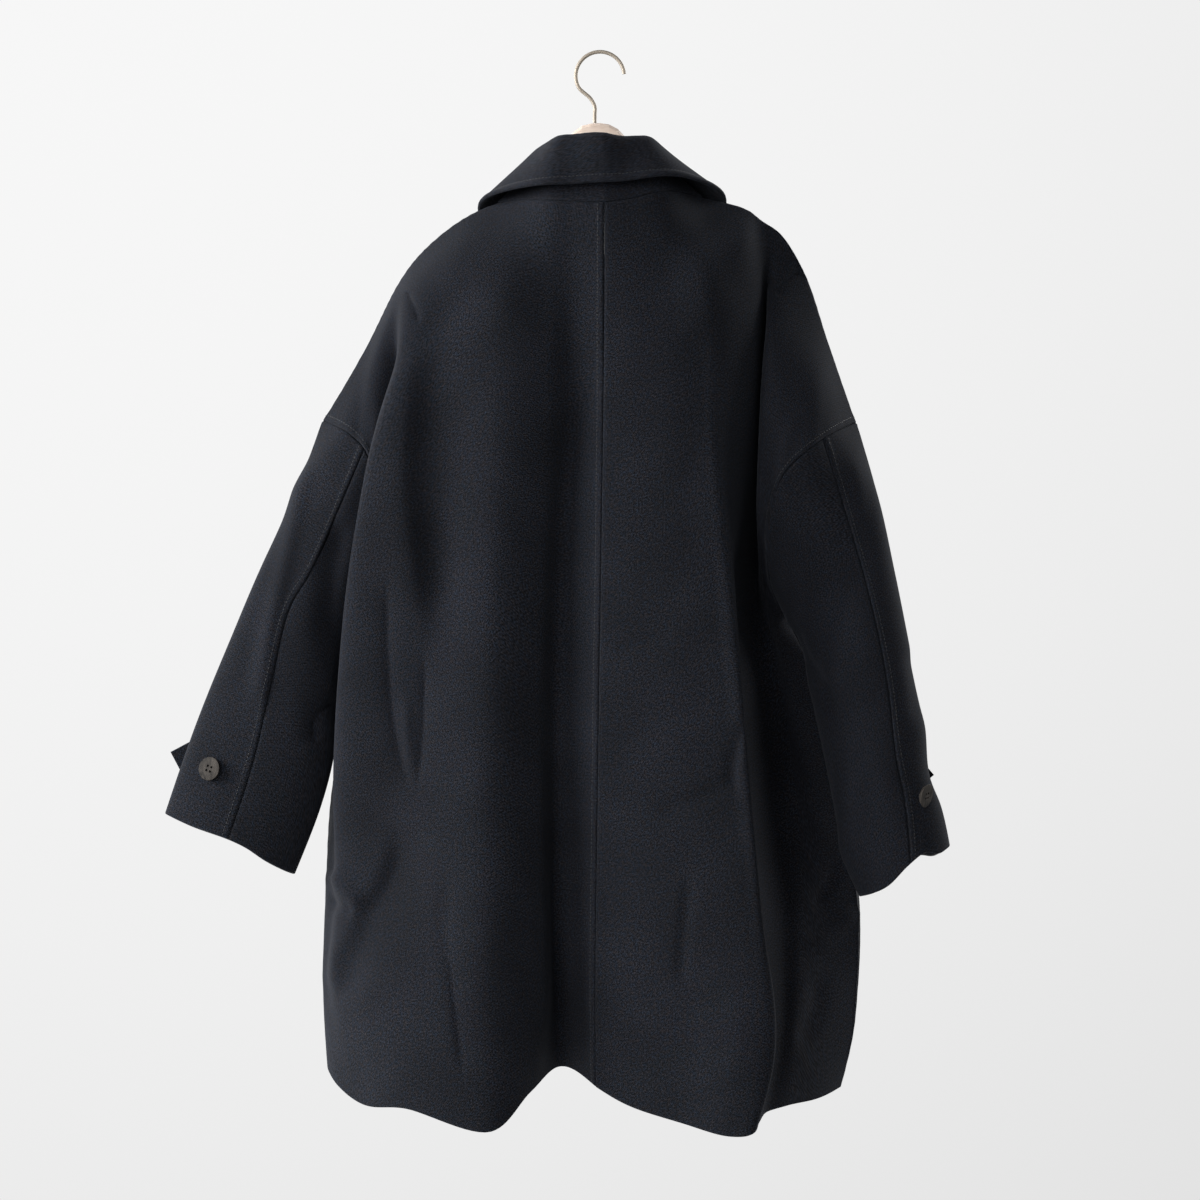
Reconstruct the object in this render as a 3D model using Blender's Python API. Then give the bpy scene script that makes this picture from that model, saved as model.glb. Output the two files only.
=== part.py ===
"""A collared coat that hangs, back outwards, on a wooden hanger.

Tables are in millimetres and meshes in metres. +Z is up, the coat's back faces -Y and its closed
front faces +Y. The origin is inside the top of the hook's bend, where the hanger hangs.
"""
import math

import bpy
import numpy as np

MM = 0.001
SHARP_ANGLE = math.radians(50)

# Cloth, in millimetres
WALL = 3.0
SEAM_GAP = 0.3
# Longest step through a wall at a sharp fold, in walls, and how firmly such a step is held short
MOST_MITRE = 2.0
MITRE_DAMPING = 0.02
# Fronts: neck and hem height, depth of each front edge (the right one laps over the left), lap past
# the middle, share of the length above the chest line, and how quickly the cloth rounds off
# shoulders and sides
FRONT_NECK_Z = -212.0
FRONT_HEM_Z = -958.0
FRONT_DEPTH = {"right": 54.5, "left": 48.0}
FRONT_HEM_OUT = 2.0
FRONT_LAP = 25.0
FRONT_CHEST = 0.37
SHOULDER_ROUND = 14
SIDE_ROUND = 3
# Collar: gap between its front ends, fold radius, and the oval that its columns point away from
COLLAR_GAP = 6.0
COLLAR_FOLD_RADIUS = 5.0
NECK_ROUND = 1.3
NECK_MIDDLE_Y = -5.0
# Cuff fittings
BUTTON_RADIUS = 11.5
BUTTON_LIFT = 0.6
BUTTON_SIDES = 20
# Button outline from its foot over the rim into the dish: share of the radius, height
BUTTON_PROFILE = ((0.35, 0.0), (0.92, 0.9), (1.0, 2.2), (0.96, 3.6), (0.84, 4.0), (0.70, 3.2), (0.20, 2.8))
TAB_WIDTH = 34.0
TAB_THICKNESS = 2.5
TAB_LENGTH = 70.0
TAB_LIFT = 1.0
TAB_STEPS = 6
# Hanger and hook
HANGER_THICKNESS = 12.0
HANGER_SECTIONS = 37
HANGER_SIDES = 12
HANGER_SQUARENESS = 0.75
HOOK_WIRE = 3.6
HOOK_SIDES = 10
HOOK_SECTIONS = 44
HOOK_BEND_RADIUS = 23.0
# The bend runs from its tip to the neck, in degrees from +X
HOOK_BEND_START = 5
HOOK_BEND_END = 205
HOOK_BEND_STEPS = 21
# Stem from the hanger to the kink under the bend: x, z
HOOK_STEM_X = -5.0
HOOK_NECK = ((-5.0, -58.0), (-5.0, -50.0), (-8.0, -44.0))

# Rows of a panel above the chest line, as shares from its top edge, in the panel and along the armhole
PANEL_ROWS = np.array((0.0, 0.05, 0.11, 0.20, 0.32, 0.46, 0.60, 0.74, 0.87, 1.0))
ARMHOLE_ROWS = np.array((0.0, 0.05, 0.10, 0.16, 0.24, 0.34, 0.46, 0.62, 0.81, 1.0))
# Rows from the chest line to the hem
SKIRT_ROWS = np.array((0.09, 0.19, 0.29, 0.39, 0.49, 0.59, 0.69, 0.79, 0.87, 0.94, 1.0))
UNDERARM = len(PANEL_ROWS) - 1
SLEEVE_SEAM = {"right": 2, "left": 3}
SLEEVE_ROWS = 13
STEPS_BETWEEN_LINES = 2
NECK_LINE = 3

# Fold lines of the backs, from the centre seam outwards. A row is a knot: height z, place x, depth y.
CENTRE_SEAM = ((-148, 4, -58), (-300, 3, -76), (-500, 0, -86), (-700, -3, -88), (-850, -5, -85),
               (-969, -5, -82))
CHEST = {
    "right": (-490, -490, -490, -490, -490, -495, -500, -510, -522, -535),
    "left": (-490, -490, -490, -490, -490, -490, -500, -515, -530),
}
RIGHT_BACK = {
    "centre_seam": CENTRE_SEAM,
    "inner_plane": ((-145, 25, -54), (-300, 28, -79), (-500, 28, -92), (-700, 30, -98), (-850, 32, -100),
                    (-984, 25, -98)),
    "middle_plane": ((-136, 61, -44), (-300, 68, -80), (-500, 72, -96), (-700, 78, -106), (-850, 82, -112),
                     (-997, 74, -118)),
    "outer_plane": ((-136, 98, -2), (-200, 102, -54), (-300, 103, -72), (-400, 107, -86), (-500, 114, -94),
                    (-700, 129, -110), (-850, 139, -122), (-1006, 116, -135)),
    "plane_edge": ((-147, 139, 0), (-185, 145, -30), (-250, 147, -44), (-290, 145, -52), (-320, 136, -60),
                   (-350, 121, -70), (-375, 117, -78), (-420, 120, -85), (-500, 125, -92), (-600, 132, -102),
                   (-700, 140, -110), (-800, 147, -117), (-950, 156, -126), (-1004, 138, -137)),
    "plane_back": ((-158, 154, 0), (-200, 151, -14), (-250, 150, -18), (-300, 145, -20), (-350, 124, -26),
                   (-420, 120, -30), (-500, 124, -36), (-600, 131, -46), (-700, 140, -56), (-800, 149, -74),
                   (-900, 156, -94), (-997, 145, -118)),
    "recess": ((-171, 172, 0), (-215, 159, -3), (-260, 159, 5), (-300, 158, 10), (-350, 155, 13),
               (-450, 152, 16), (-550, 148, 18), (-650, 158, 15), (-750, 167, 2), (-850, 171, -36),
               (-930, 167, -68), (-990, 153, -100)),
    "shoulder_roll": ((-207, 195, 0), (-237, 168, -24), (-281, 157, -42), (-312, 153, -47), (-368, 149, -52),
                      (-447, 147, -40), (-500, 152, -8), (-560, 164, 17), (-650, 180, 20), (-760, 190, 4),
                      (-870, 188, -36), (-986, 175, -82)),
    "shoulder_face": ((-275, 218, 0), (-311, 201, -38), (-346, 180, -56), (-417, 157, -56), (-452, 154, -44),
                      (-490, 156, -14), (-560, 172, 20), (-650, 190, 21), (-760, 210, 9), (-870, 215, -16),
                      (-984, 204, -55)),
    "armhole_and_side": ((-350, 244, 0), (-360, 223, -34), (-371, 205, -54), (-399, 173, -66),
                         (-439, 159, -56), (-478, 157, -38), (-510, 163, -12), (-535, 178, 22),
                         (-575, 199, 34), (-620, 216, 36), (-720, 238, 32), (-824, 249, 14),
                         (-890, 246, 4), (-930, 241, -8), (-978, 228, -24)),
}
LEFT_BACK = {
    "centre_seam": CENTRE_SEAM,
    "trough": ((-147, -25, -54), (-300, -25, -66), (-500, -34, -64), (-650, -40, -60), (-800, -42, -52),
               (-900, -40, -46), (-956, -36, -44)),
    "trough_lip": ((-145, -50, -48), (-300, -48, -76), (-500, -55, -80), (-650, -58, -84), (-800, -54, -86),
                   (-900, -53, -88), (-973, -64, -92)),
    "ridge": ((-142, -98, -2), (-200, -92, -58), (-300, -90, -82), (-500, -98, -94), (-700, -104, -104),
              (-850, -105, -114), (-1004, -99, -122)),
    "soft_valley": ((-156, -130, 0), (-200, -135, -48), (-270, -146, -64), (-400, -150, -74),
                    (-520, -154, -78), (-640, -170, -80), (-740, -192, -74), (-800, -194, -72),
                    (-880, -190, -90), (-986, -179, -104)),
    "edge": ((-188, -169, 0), (-230, -181, -36), (-300, -188, -58), (-400, -216, -64), (-500, -235, -62),
             (-600, -244, -58), (-700, -247, -50), (-800, -243, -42), (-870, -249, -40), (-920, -240, -48),
             (-988, -218, -72)),
    "inner_fold": ((-215, -190, 0), (-250, -196, -26), (-290, -191, -26), (-330, -182, -10),
                   (-380, -173, 6), (-450, -172, 16), (-550, -200, 18), (-640, -232, 12), (-720, -249, -5),
                   (-800, -253, -12), (-880, -258, -14), (-976, -246, -38)),
    "shoulder_face": ((-278, -222, 0), (-312, -218, -26), (-347, -211, -36), (-415, -208, -28),
                      (-455, -212, -12), (-490, -218, 6), (-560, -221, 22), (-640, -238, 20),
                      (-720, -254, 10), (-820, -262, 4), (-890, -263, 0), (-964, -258, -8)),
    "armhole_and_side": ((-348, -264, 0), (-358, -243, -28), (-371, -226, -38), (-399, -214, -38),
                         (-439, -216, -26), (-478, -221, -8), (-510, -227, 12), (-530, -232, 28),
                         (-620, -246, 36), (-720, -260, 34), (-820, -263, 28), (-890, -263, 22),
                         (-962, -257, 12)),
}
# Front half of each armhole, from the shoulder's end to the underarm: z, x, y
FRONT_ARMHOLE = {
    "right": ((-350, 244, 0), (-372, 240, 24), (-405, 228, 40), (-450, 208, 46), (-495, 190, 40),
              (-535, 178, 22)),
    "left": ((-348, -264, 0), (-372, -262, 26), (-405, -254, 40), (-450, -243, 46), (-495, -236, 42),
             (-530, -232, 28)),
}
# Sleeve sections below the armhole: share of the length, outer edge x y z, inner edge x y z, half depth,
# and where the back seam lies, as a share of the way round the back from the outer to the inner edge
SLEEVES = {
    "right": (
        (0.18, (263, -14, -422), (190, -10, -575), 41, 0.39),
        (0.36, (278, -22, -493), (201, -28, -622), 39, 0.374),
        (0.55, (292, -32, -569), (212, -38, -677), 38, 0.374),
        (0.72, (304, -42, -637), (221, -46, -727), 36, 0.406),
        (0.85, (309, -44, -687), (225, -48, -757), 36, 0.38),
        (0.92, (319, -45, -713), (233, -49, -776), 36, 0.43),
        (1.00, (327, -46, -748), (243, -50, -797), 36, 0.485),
    ),
    "left": (
        (0.18, (-289, 0, -415), (-244, 6, -574), 36, 0.476),
        (0.36, (-320, 2, -482), (-249, 4, -619), 33, 0.42),
        (0.55, (-350, 4, -553), (-253, 2, -665), 31, 0.448),
        (0.75, (-381, 4, -628), (-265, 0, -715), 30, 0.487),
        (1.00, (-414, 2, -721), (-290, 0, -777), 30, 0.508),
    ),
}
# Wave of the cuff's edge: share of the way across from its outer to its inner edge, rise there
CUFF_WAVE = {
    "right": ((0.0, -2.0), (0.12, -3.0), (0.3, 6.0), (0.5, 3.5), (0.72, -4.0), (1.0, 0.5)),
    "left": ((0.0, -1.5), (0.15, -2.0), (0.5, 1.5), (0.65, 1.0), (0.8, -3.0), (0.92, -3.8), (1.0, -3.0)),
}
FRONT_SEAM_SHARE = 0.35
# Rise of a section's back over its middle, as a share of its depth
SLEEVE_TILT = 0.12
# Collar: share of the way from centre back to centre front, stand rise, stand lean, leaf drop, leaf spread
COLLAR = {
    "right": ((0.00, 58, 8, 43, 28), (0.25, 46, 20, 38, 36), (0.50, 37, 41, 38, 52), (0.75, 24, 24, 50, 46),
              (1.00, 16, 4, 62, 22)),
    "left": ((0.00, 58, 8, 43, 28), (0.25, 53, 19, 42, 36), (0.50, 43, 41, 44, 47), (0.75, 26, 24, 50, 46),
             (1.00, 16, 4, 62, 22)),
}
COLLAR_LEAF_ROWS = 4
COLLAR_FOLD_ROWS = 4
COLLAR_STAND_ROWS = 4
# Front columns between the front edge and the neck point, as shares of the panel's width
FRONT_NECK_SHARES = (0.0, 0.09, 0.20, 0.31, 0.42)
# Hanger: x, top z, height
HANGER = (
    (-163, -197, 14), (-130, -171, 18), (-98, -155, 22), (-62, -130, 30), (-44, -104, 42), (-27, -76, 60),
    (-4, -66, 66), (21, -75, 62), (39, -102, 44), (62, -130, 30), (98, -155, 22), (125, -160, 18),
    (146, -168, 14),
)
# Cuff fittings: button's place along and round the sleeve, its turn outwards and its dip downwards on its
# thread in degrees, middle x z of the tab's end, and the tab's droop in degrees
CUFF = {
    "right": {"button_row": 0.862, "button_share": 0.33, "button_turn": 25.0, "button_dip": 27.0,
              "tab_end": (304, -696), "tab_droop": 50.0},
    "left": {"button_row": 0.846, "button_share": 0.322, "button_turn": 0.0, "button_dip": 0.0,
             "tab_end": (-405, -680), "tab_droop": 28.0},
}


def smooth_through(points, knots, places):
    """Reads a smooth curve that passes through the points at the given knots."""
    points = np.asarray(points, float)
    knots = np.asarray(knots, float)
    gaps = np.diff(knots)[:, None]
    slopes = np.diff(points, axis=0) / gaps
    tangents = np.empty_like(points)
    tangents[1:-1] = (gaps[1:] * slopes[:-1] + gaps[:-1] * slopes[1:]) / (gaps[1:] + gaps[:-1])
    tangents[0] = slopes[0] if len(points) == 2 else 1.5 * slopes[0] - 0.5 * tangents[1]
    tangents[-1] = slopes[-1] if len(points) == 2 else 1.5 * slopes[-1] - 0.5 * tangents[-2]
    span = np.clip(np.searchsorted(knots, places, side="right") - 1, 0, len(knots) - 2)
    gap = gaps[span]
    u = (np.asarray(places)[:, None] - knots[span][:, None]) / gap
    return ((1 + 2 * u) * (1 - u) ** 2 * points[span] + u * (1 - u) ** 2 * gap * tangents[span]
            + u ** 2 * (3 - 2 * u) * points[span + 1] + u ** 2 * (u - 1) * gap * tangents[span + 1])


def row_places(rows_above, top, chest, hem):
    """Places of all rows of a panel between the places of its top edge, chest line and hem."""
    return np.concatenate((top + rows_above * (chest - top), chest + SKIRT_ROWS * (hem - chest)))


def read_line(knots, z):
    """Points x, y, z on a fold line at the given heights."""
    table = np.array(knots, float)
    x_and_y = smooth_through(table[:, 1:], -table[:, 0], -z)
    return np.column_stack((x_and_y, z))


def back_panel(lines, chest_levels):
    """Grid of a back, rows from top edge to hem, columns from the centre seam to the outer edge."""
    rails = []
    for (name, knots), chest in zip(lines.items(), chest_levels):
        rows_above = ARMHOLE_ROWS if name == "armhole_and_side" else PANEL_ROWS
        rails.append(read_line(knots, row_places(rows_above, knots[0][0], chest, knots[-1][0])))
    rails = np.stack(rails, axis=1)
    rows = []
    for rail in rails:
        knots = np.concatenate(([0.0], np.cumsum(np.sqrt(np.linalg.norm(np.diff(rail, axis=0), axis=1)))))
        steps = np.linspace(0.0, 1.0, STEPS_BETWEEN_LINES, endpoint=False)
        places = np.concatenate([start + steps * (end - start) for start, end in zip(knots[:-1], knots[1:])]
                                + [knots[-1:]])
        rows.append(smooth_through(rail, knots, places))
    return np.stack(rows)


def front_panel(side, back):
    """Grid of a front, columns from the front edge to the outer edge, shaped by its four edges.

    The shoulder and the side seam are taken from the back, so that the panels meet there.
    """
    sign = 1.0 if side == "right" else -1.0
    neck_column = NECK_LINE * STEPS_BETWEEN_LINES
    shoulder = back[0, neck_column:]
    neck_point = shoulder[0]
    depth = FRONT_DEPTH[side]
    turn = np.linspace(math.pi / 2, 0.0, len(FRONT_NECK_SHARES) - 1)
    collar_end = sign * COLLAR_GAP / 2
    neckline = np.column_stack((collar_end + (neck_point[0] - collar_end) * np.cos(turn),
                                neck_point[1] + (depth - neck_point[1]) * np.sin(turn),
                                FRONT_NECK_Z + (neck_point[2] - FRONT_NECK_Z) * np.cos(turn)))
    front_corner = np.array([[-sign * FRONT_LAP, depth, FRONT_NECK_Z]])
    top = np.concatenate((front_corner, neckline, shoulder[1:]))
    shares = np.concatenate((FRONT_NECK_SHARES, np.linspace(FRONT_NECK_SHARES[-1], 1.0, len(shoulder))[1:]))
    outer = back[:, -1].copy()
    outer[1:UNDERARM] = read_line(FRONT_ARMHOLE[side], back[1:UNDERARM, -1, 2])
    down = row_places(PANEL_ROWS, 0.0, FRONT_CHEST, 1.0)
    hem_corner = np.array([-sign * FRONT_LAP, depth + FRONT_HEM_OUT, FRONT_HEM_Z])
    edge = front_corner + down[:, None] * (hem_corner - front_corner)
    across = shares[:, None]
    hem = hem_corner + across * (outer[-1] - hem_corner)
    hem[:, 1] = hem_corner[1] + shares ** SIDE_ROUND * (outer[-1, 1] - hem_corner[1])
    fall = np.stack([down, 1.0 - (1.0 - down) ** SHOULDER_ROUND, down], axis=1)[:, None, :]
    sideways = np.stack([shares, shares ** SIDE_ROUND, shares], axis=1)[None]
    corners = ((1 - fall) * ((1 - sideways) * top[0] + sideways * top[-1])
               + fall * ((1 - sideways) * hem[0] + sideways * hem[-1]))
    downwards = (1 - fall) * top + fall * hem
    across_sheet = (1 - sideways) * edge[:, None] + sideways * outer[:, None]
    return downwards + across_sheet - corners


def sleeve_rings(side, back, front):
    """Sleeve as rings of points, from the outer edge round the back to the inner edge and round the front."""
    back_edge = back[:UNDERARM + 1, -1]
    front_edge = front[:UNDERARM + 1, -1]
    first = np.concatenate((back_edge, front_edge[-2:0:-1]))
    index = np.arange(UNDERARM + 1)
    rings = [first]
    wave = np.array(CUFF_WAVE[side], float)
    for place, outer, inner, half_depth, seam in SLEEVES[side]:
        outer = np.array(outer, float)
        inner = np.array(inner, float)
        centre = (outer + inner) / 2
        halves = []
        for seam_share, depth_sign in ((seam, -1.0), (FRONT_SEAM_SHARE, 1.0)):
            share = np.interp(index, (0, SLEEVE_SEAM[side], UNDERARM), (0.0, seam_share, 1.0))
            turn = math.pi * share[:, None]
            depth = depth_sign * half_depth * np.array([0.0, 1.0, -SLEEVE_TILT])
            half = centre + (outer - centre) * np.cos(turn) + depth * np.sin(turn)
            if place == 1.0:
                half[:, 2:] += smooth_through(wave[:, 1:], wave[:, 0], (1.0 - np.cos(turn[:, 0])) / 2)
            halves.append(half)
        rings.append(np.concatenate((halves[0], halves[1][-2:0:-1])))
    knots = [0.0] + [row[0] for row in SLEEVES[side]]
    places = np.linspace(0.0, 1.0, SLEEVE_ROWS)
    table = np.stack(rings)
    flat = smooth_through(table.reshape(len(table), -1), knots, places)
    return flat.reshape(SLEEVE_ROWS, -1, 3)


def sleeve_pieces(side, rings):
    """Cuts the rings at the back and front seams: the top sleeve and the under sleeve."""
    count = rings.shape[1]
    back_seam = SLEEVE_SEAM[side]
    front_seam = count - back_seam
    over = np.concatenate((rings[:, front_seam:], rings[:, :back_seam + 1]), axis=1)
    under = rings[:, back_seam:front_seam + 1]
    if side == "right":
        over = over[:, ::-1]
        under = under[:, ::-1]
    return over, under


def collar_grid(neckline):
    """Under side of the collar, from the leaf's edge over the fold and down the stand to the neckline."""
    up = np.array([0.0, 0.0, 1.0])
    columns = []
    for base in neckline:
        outward = np.array([base[0], NECK_ROUND * (base[1] - NECK_MIDDLE_Y), 0.0])
        outward /= np.linalg.norm(outward)
        share = math.acos(-outward[1]) / math.pi
        table = np.array(COLLAR["right" if base[0] > 0 else "left"], float)
        rise, lean, drop, spread = smooth_through(table[:, 1:], table[:, 0], [share])[0]
        stand_top = base + rise * up - lean * outward
        fold_end = stand_top + 2 * COLLAR_FOLD_RADIUS * outward
        leaf_edge = fold_end + spread * outward - drop * up
        leaf = [leaf_edge + (fold_end - leaf_edge) * k / COLLAR_LEAF_ROWS for k in range(COLLAR_LEAF_ROWS)]
        turns = [math.pi * k / COLLAR_FOLD_ROWS for k in range(COLLAR_FOLD_ROWS + 1)]
        middle = stand_top + COLLAR_FOLD_RADIUS * outward
        fold = [middle + COLLAR_FOLD_RADIUS * (math.cos(turn) * outward + math.sin(turn) * up)
                for turn in turns]
        stand = [stand_top + (base - stand_top) * k / COLLAR_STAND_ROWS
                 for k in range(1, COLLAR_STAND_ROWS + 1)]
        columns.append(np.array(leaf + fold + stand))
    return np.stack(columns, axis=1)


def wall_steps(grids):
    """Steps from the outer to the inner face of all grids.

    They are shared where grids meet, so that the walls meet in a mitre.
    """
    meeting = {}
    keys = {}
    for name, grid in grids.items():
        diagonal_a = grid[1:, 1:] - grid[:-1, :-1]
        diagonal_b = grid[1:, :-1] - grid[:-1, 1:]
        faces = np.cross(diagonal_b, diagonal_a)
        faces /= np.linalg.norm(faces, axis=2)[:, :, None]
        keys[name] = [[tuple(key) for key in row] for row in np.round(grid, 2)]
        for i, row in enumerate(faces):
            for j, normal in enumerate(row):
                for key in (*keys[name][i][j:j + 2], *keys[name][i + 1][j:j + 2]):
                    meeting.setdefault(key, []).append(normal)
    steps = {}
    for name in grids:
        steps[name] = np.array([[mitre_step(meeting[key]) for key in row] for row in keys[name]])
    return steps


def mitre_step(normals):
    """Step that goes one wall deep behind each of the faces that meet at a point, as nearly as it can."""
    normals = np.array(normals)
    pull = np.eye(3) * MITRE_DAMPING * len(normals)
    step = np.linalg.solve(normals.T @ normals + pull, -WALL * normals.sum(axis=0))
    return step * min(1.0, MOST_MITRE * WALL / np.linalg.norm(step))


def drawn_in(grid):
    """The grid with its four edges drawn in by half the gap at a seam."""
    grid = grid.copy()
    for edge, inside in ((0, 1), (-1, -2)):
        for view in (grid, grid.transpose(1, 0, 2)):
            step = view[inside] - view[edge]
            length = np.linalg.norm(step, axis=1)[:, None]
            view[edge] += step / length * SEAM_GAP / 2
    return grid


def add_object(name, points, faces, material):
    """One named object from points in millimetres."""
    mesh = bpy.data.meshes.new(name)
    mesh.from_pydata((np.asarray(points) * MM).tolist(), [], faces)
    mesh.validate()
    mesh.shade_smooth()
    mesh.set_sharp_from_angle(angle=SHARP_ANGLE)
    mesh.materials.append(material)
    thing = bpy.data.objects.new(name, mesh)
    bpy.context.scene.collection.objects.link(thing)
    return thing


def add_wall(name, outer, inner, material):
    """Closed wall between two grids of the same size, with a rim round its edges."""
    rows, columns = outer.shape[:2]
    count = rows * columns
    numbers = np.arange(count).reshape(rows, columns)
    faces = []
    for i in range(rows - 1):
        for j in range(columns - 1):
            a, d = numbers[i, j:j + 2].tolist()
            b, c = numbers[i + 1, j:j + 2].tolist()
            one_way = np.linalg.norm(outer[i, j] - outer[i + 1, j + 1])
            other_way = np.linalg.norm(outer[i + 1, j] - outer[i, j + 1])
            halves = ((a, b, c), (a, c, d)) if one_way <= other_way else ((a, b, d), (b, c, d))
            for half in halves:
                faces.append(half)
                faces.append(tuple(n + count for n in reversed(half)))
    points = np.concatenate((outer.reshape(-1, 3), inner.reshape(-1, 3)))
    loop = np.concatenate((numbers[0, :-1], numbers[:-1, -1], numbers[-1, :0:-1], numbers[:0:-1, 0])).tolist()
    for a, b in zip(loop, loop[1:] + loop[:1]):
        if points[a, 2] > points[b, 2]:
            faces += [(a, b, b + count), (a, b + count, a + count)]
        else:
            faces += [(a, b, a + count), (b, b + count, a + count)]
    return add_object(name, points, faces, material)


def add_tube(name, rings, material):
    """Closed solid through a row of rings, with flat ends."""
    count = len(rings[0])
    faces = []
    for k in range(len(rings) - 1):
        for i in range(count):
            j = (i + 1) % count
            faces.append((k * count + i, k * count + j, (k + 1) * count + j, (k + 1) * count + i))
    faces.append(tuple(range(count - 1, -1, -1)))
    last = (len(rings) - 1) * count
    faces.append(tuple(range(last, last + count)))
    return add_object(name, np.concatenate(rings), faces, material)


def surface_frame(rings, row_share, turn_index):
    """A point on the sleeve with its outward, downward and sideways directions."""
    row = row_share * (len(rings) - 1)
    low = min(int(row), len(rings) - 2)
    blend = row - low
    ring = rings[low] * (1 - blend) + rings[low + 1] * blend
    down = (rings[low + 1] - rings[low]).mean(axis=0)
    down /= np.linalg.norm(down)
    first = int(turn_index)
    point = ring[first] + (turn_index - first) * (ring[first + 1] - ring[first])
    side = ring[first + 1] - ring[first]
    side -= down * side.dot(down)
    side /= np.linalg.norm(side)
    out = np.cross(side, down)
    if out.dot(point - ring.mean(axis=0)) < 0:
        out = -out
    return point, out, down, side


def make_material(name, colour, roughness, metallic):
    """A plain finish with one colour."""
    material = bpy.data.materials.new(name)
    material.use_nodes = True
    shader = material.node_tree.nodes["Principled BSDF"]
    shader.inputs["Base Color"].default_value = (*colour, 1.0)
    shader.inputs["Roughness"].default_value = roughness
    shader.inputs["Metallic"].default_value = metallic
    return material


def add_button(side, rings, material):
    """Dished button that stands on the back of the sleeve."""
    settings = CUFF[side]
    seam_share = SLEEVES[side][-1][4]
    turn_index = np.interp(settings["button_share"], (0.0, seam_share, 1.0), (0, SLEEVE_SEAM[side], UNDERARM))
    point, out, down, inward = surface_frame(rings, settings["button_row"], turn_index)
    turn = math.radians(settings["button_turn"])
    dip = math.radians(settings["button_dip"])
    slant = math.acos(math.cos(turn) * math.cos(dip))
    point = point + out * (BUTTON_LIFT + BUTTON_RADIUS * math.sin(slant))
    out = math.cos(turn) * out - math.sin(turn) * inward
    out, down = math.cos(dip) * out + math.sin(dip) * down, math.cos(dip) * down - math.sin(dip) * out
    side_way = np.cross(down, out)
    angles = np.linspace(0.0, 2 * math.pi, BUTTON_SIDES, endpoint=False)[:, None]
    round_way = np.cos(angles) * side_way + np.sin(angles) * down
    sections = [point + out * height + BUTTON_RADIUS * share * round_way
                for share, height in BUTTON_PROFILE]
    add_tube(f"cuff_button_{side}", sections, material)


def add_tab(side, rings, material):
    """Loose strap on the front of the cuff, its square end reaching past the sleeve's outer edge."""
    settings = CUFF[side]
    sign = 1.0 if side == "right" else -1.0
    droop = math.radians(settings["tab_droop"])
    along = np.array([sign * math.cos(droop), 0.0, -math.sin(droop)])
    wide = np.array([sign * math.sin(droop), 0.0, math.cos(droop)])
    end_x, end_z = settings["tab_end"]
    middle = np.array([end_x, 0.0, end_z]) + along * np.linspace(-TAB_LENGTH, 0.0, TAB_STEPS)[:, None]
    near = np.stack([middle + wide * TAB_WIDTH / 2, middle - wide * TAB_WIDTH / 2], axis=1)
    sleeve_front = np.interp(-near[:, :, 2], -rings[:, :, 2].mean(axis=1), rings[:, :, 1].max(axis=1))
    near[:, :, 1] = sleeve_front + TAB_LIFT
    if side == "left":
        near = near[:, ::-1]
    add_wall(f"cuff_tab_{side}", near + np.array([0.0, TAB_THICKNESS, 0.0]), near, material)


def add_hanger(material):
    """Wooden hanger: one curved bar with a high middle and thin ends."""
    table = np.array(HANGER, float)
    places = np.linspace(table[0, 0], table[-1, 0], HANGER_SECTIONS)
    rows = smooth_through(table[:, 1:], table[:, 0], places)
    angles = np.linspace(0.0, 2 * math.pi, HANGER_SIDES, endpoint=False)
    across = np.sign(np.cos(angles)) * np.abs(np.cos(angles)) ** HANGER_SQUARENESS
    upward = np.sign(np.sin(angles)) * np.abs(np.sin(angles)) ** HANGER_SQUARENESS
    rings = []
    for x, (top, height) in zip(places, rows):
        z = top - height / 2 + height / 2 * upward
        rings.append(np.column_stack((np.full(HANGER_SIDES, x), HANGER_THICKNESS / 2 * across, z)))
    add_tube("hanger", rings, material)


def add_hook(material):
    """Wire hook: a stem out of the hanger, a slanted neck and a round bend."""
    middle_z = HOOK_WIRE / 2 - HOOK_BEND_RADIUS
    stem_foot = max(row[1] for row in HANGER) + SEAM_GAP
    turns = np.radians(np.linspace(HOOK_BEND_END, HOOK_BEND_START, HOOK_BEND_STEPS))
    bend = [(HOOK_BEND_RADIUS * math.cos(turn), middle_z + HOOK_BEND_RADIUS * math.sin(turn))
            for turn in turns]
    route = [(HOOK_STEM_X, stem_foot), *HOOK_NECK, *bend]
    centre = np.array([(x, 0.0, z) for x, z in route])
    lengths = np.concatenate(([0.0], np.cumsum(np.linalg.norm(np.diff(centre, axis=0), axis=1))))
    path = smooth_through(centre, lengths, np.linspace(0.0, lengths[-1], HOOK_SECTIONS))
    tangents = np.gradient(path, axis=0)
    tangents /= np.linalg.norm(tangents, axis=1)[:, None]
    across = np.array([0.0, 1.0, 0.0])
    angles = np.linspace(0.0, 2 * math.pi, HOOK_SIDES, endpoint=False)[:, None]
    rings = []
    for point, tangent in zip(path, tangents):
        normal = np.cross(across, tangent)
        rings.append(point + HOOK_WIRE / 2 * (np.cos(angles) * normal + np.sin(angles) * across))
    add_tube("hanger_hook", rings, material)


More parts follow.
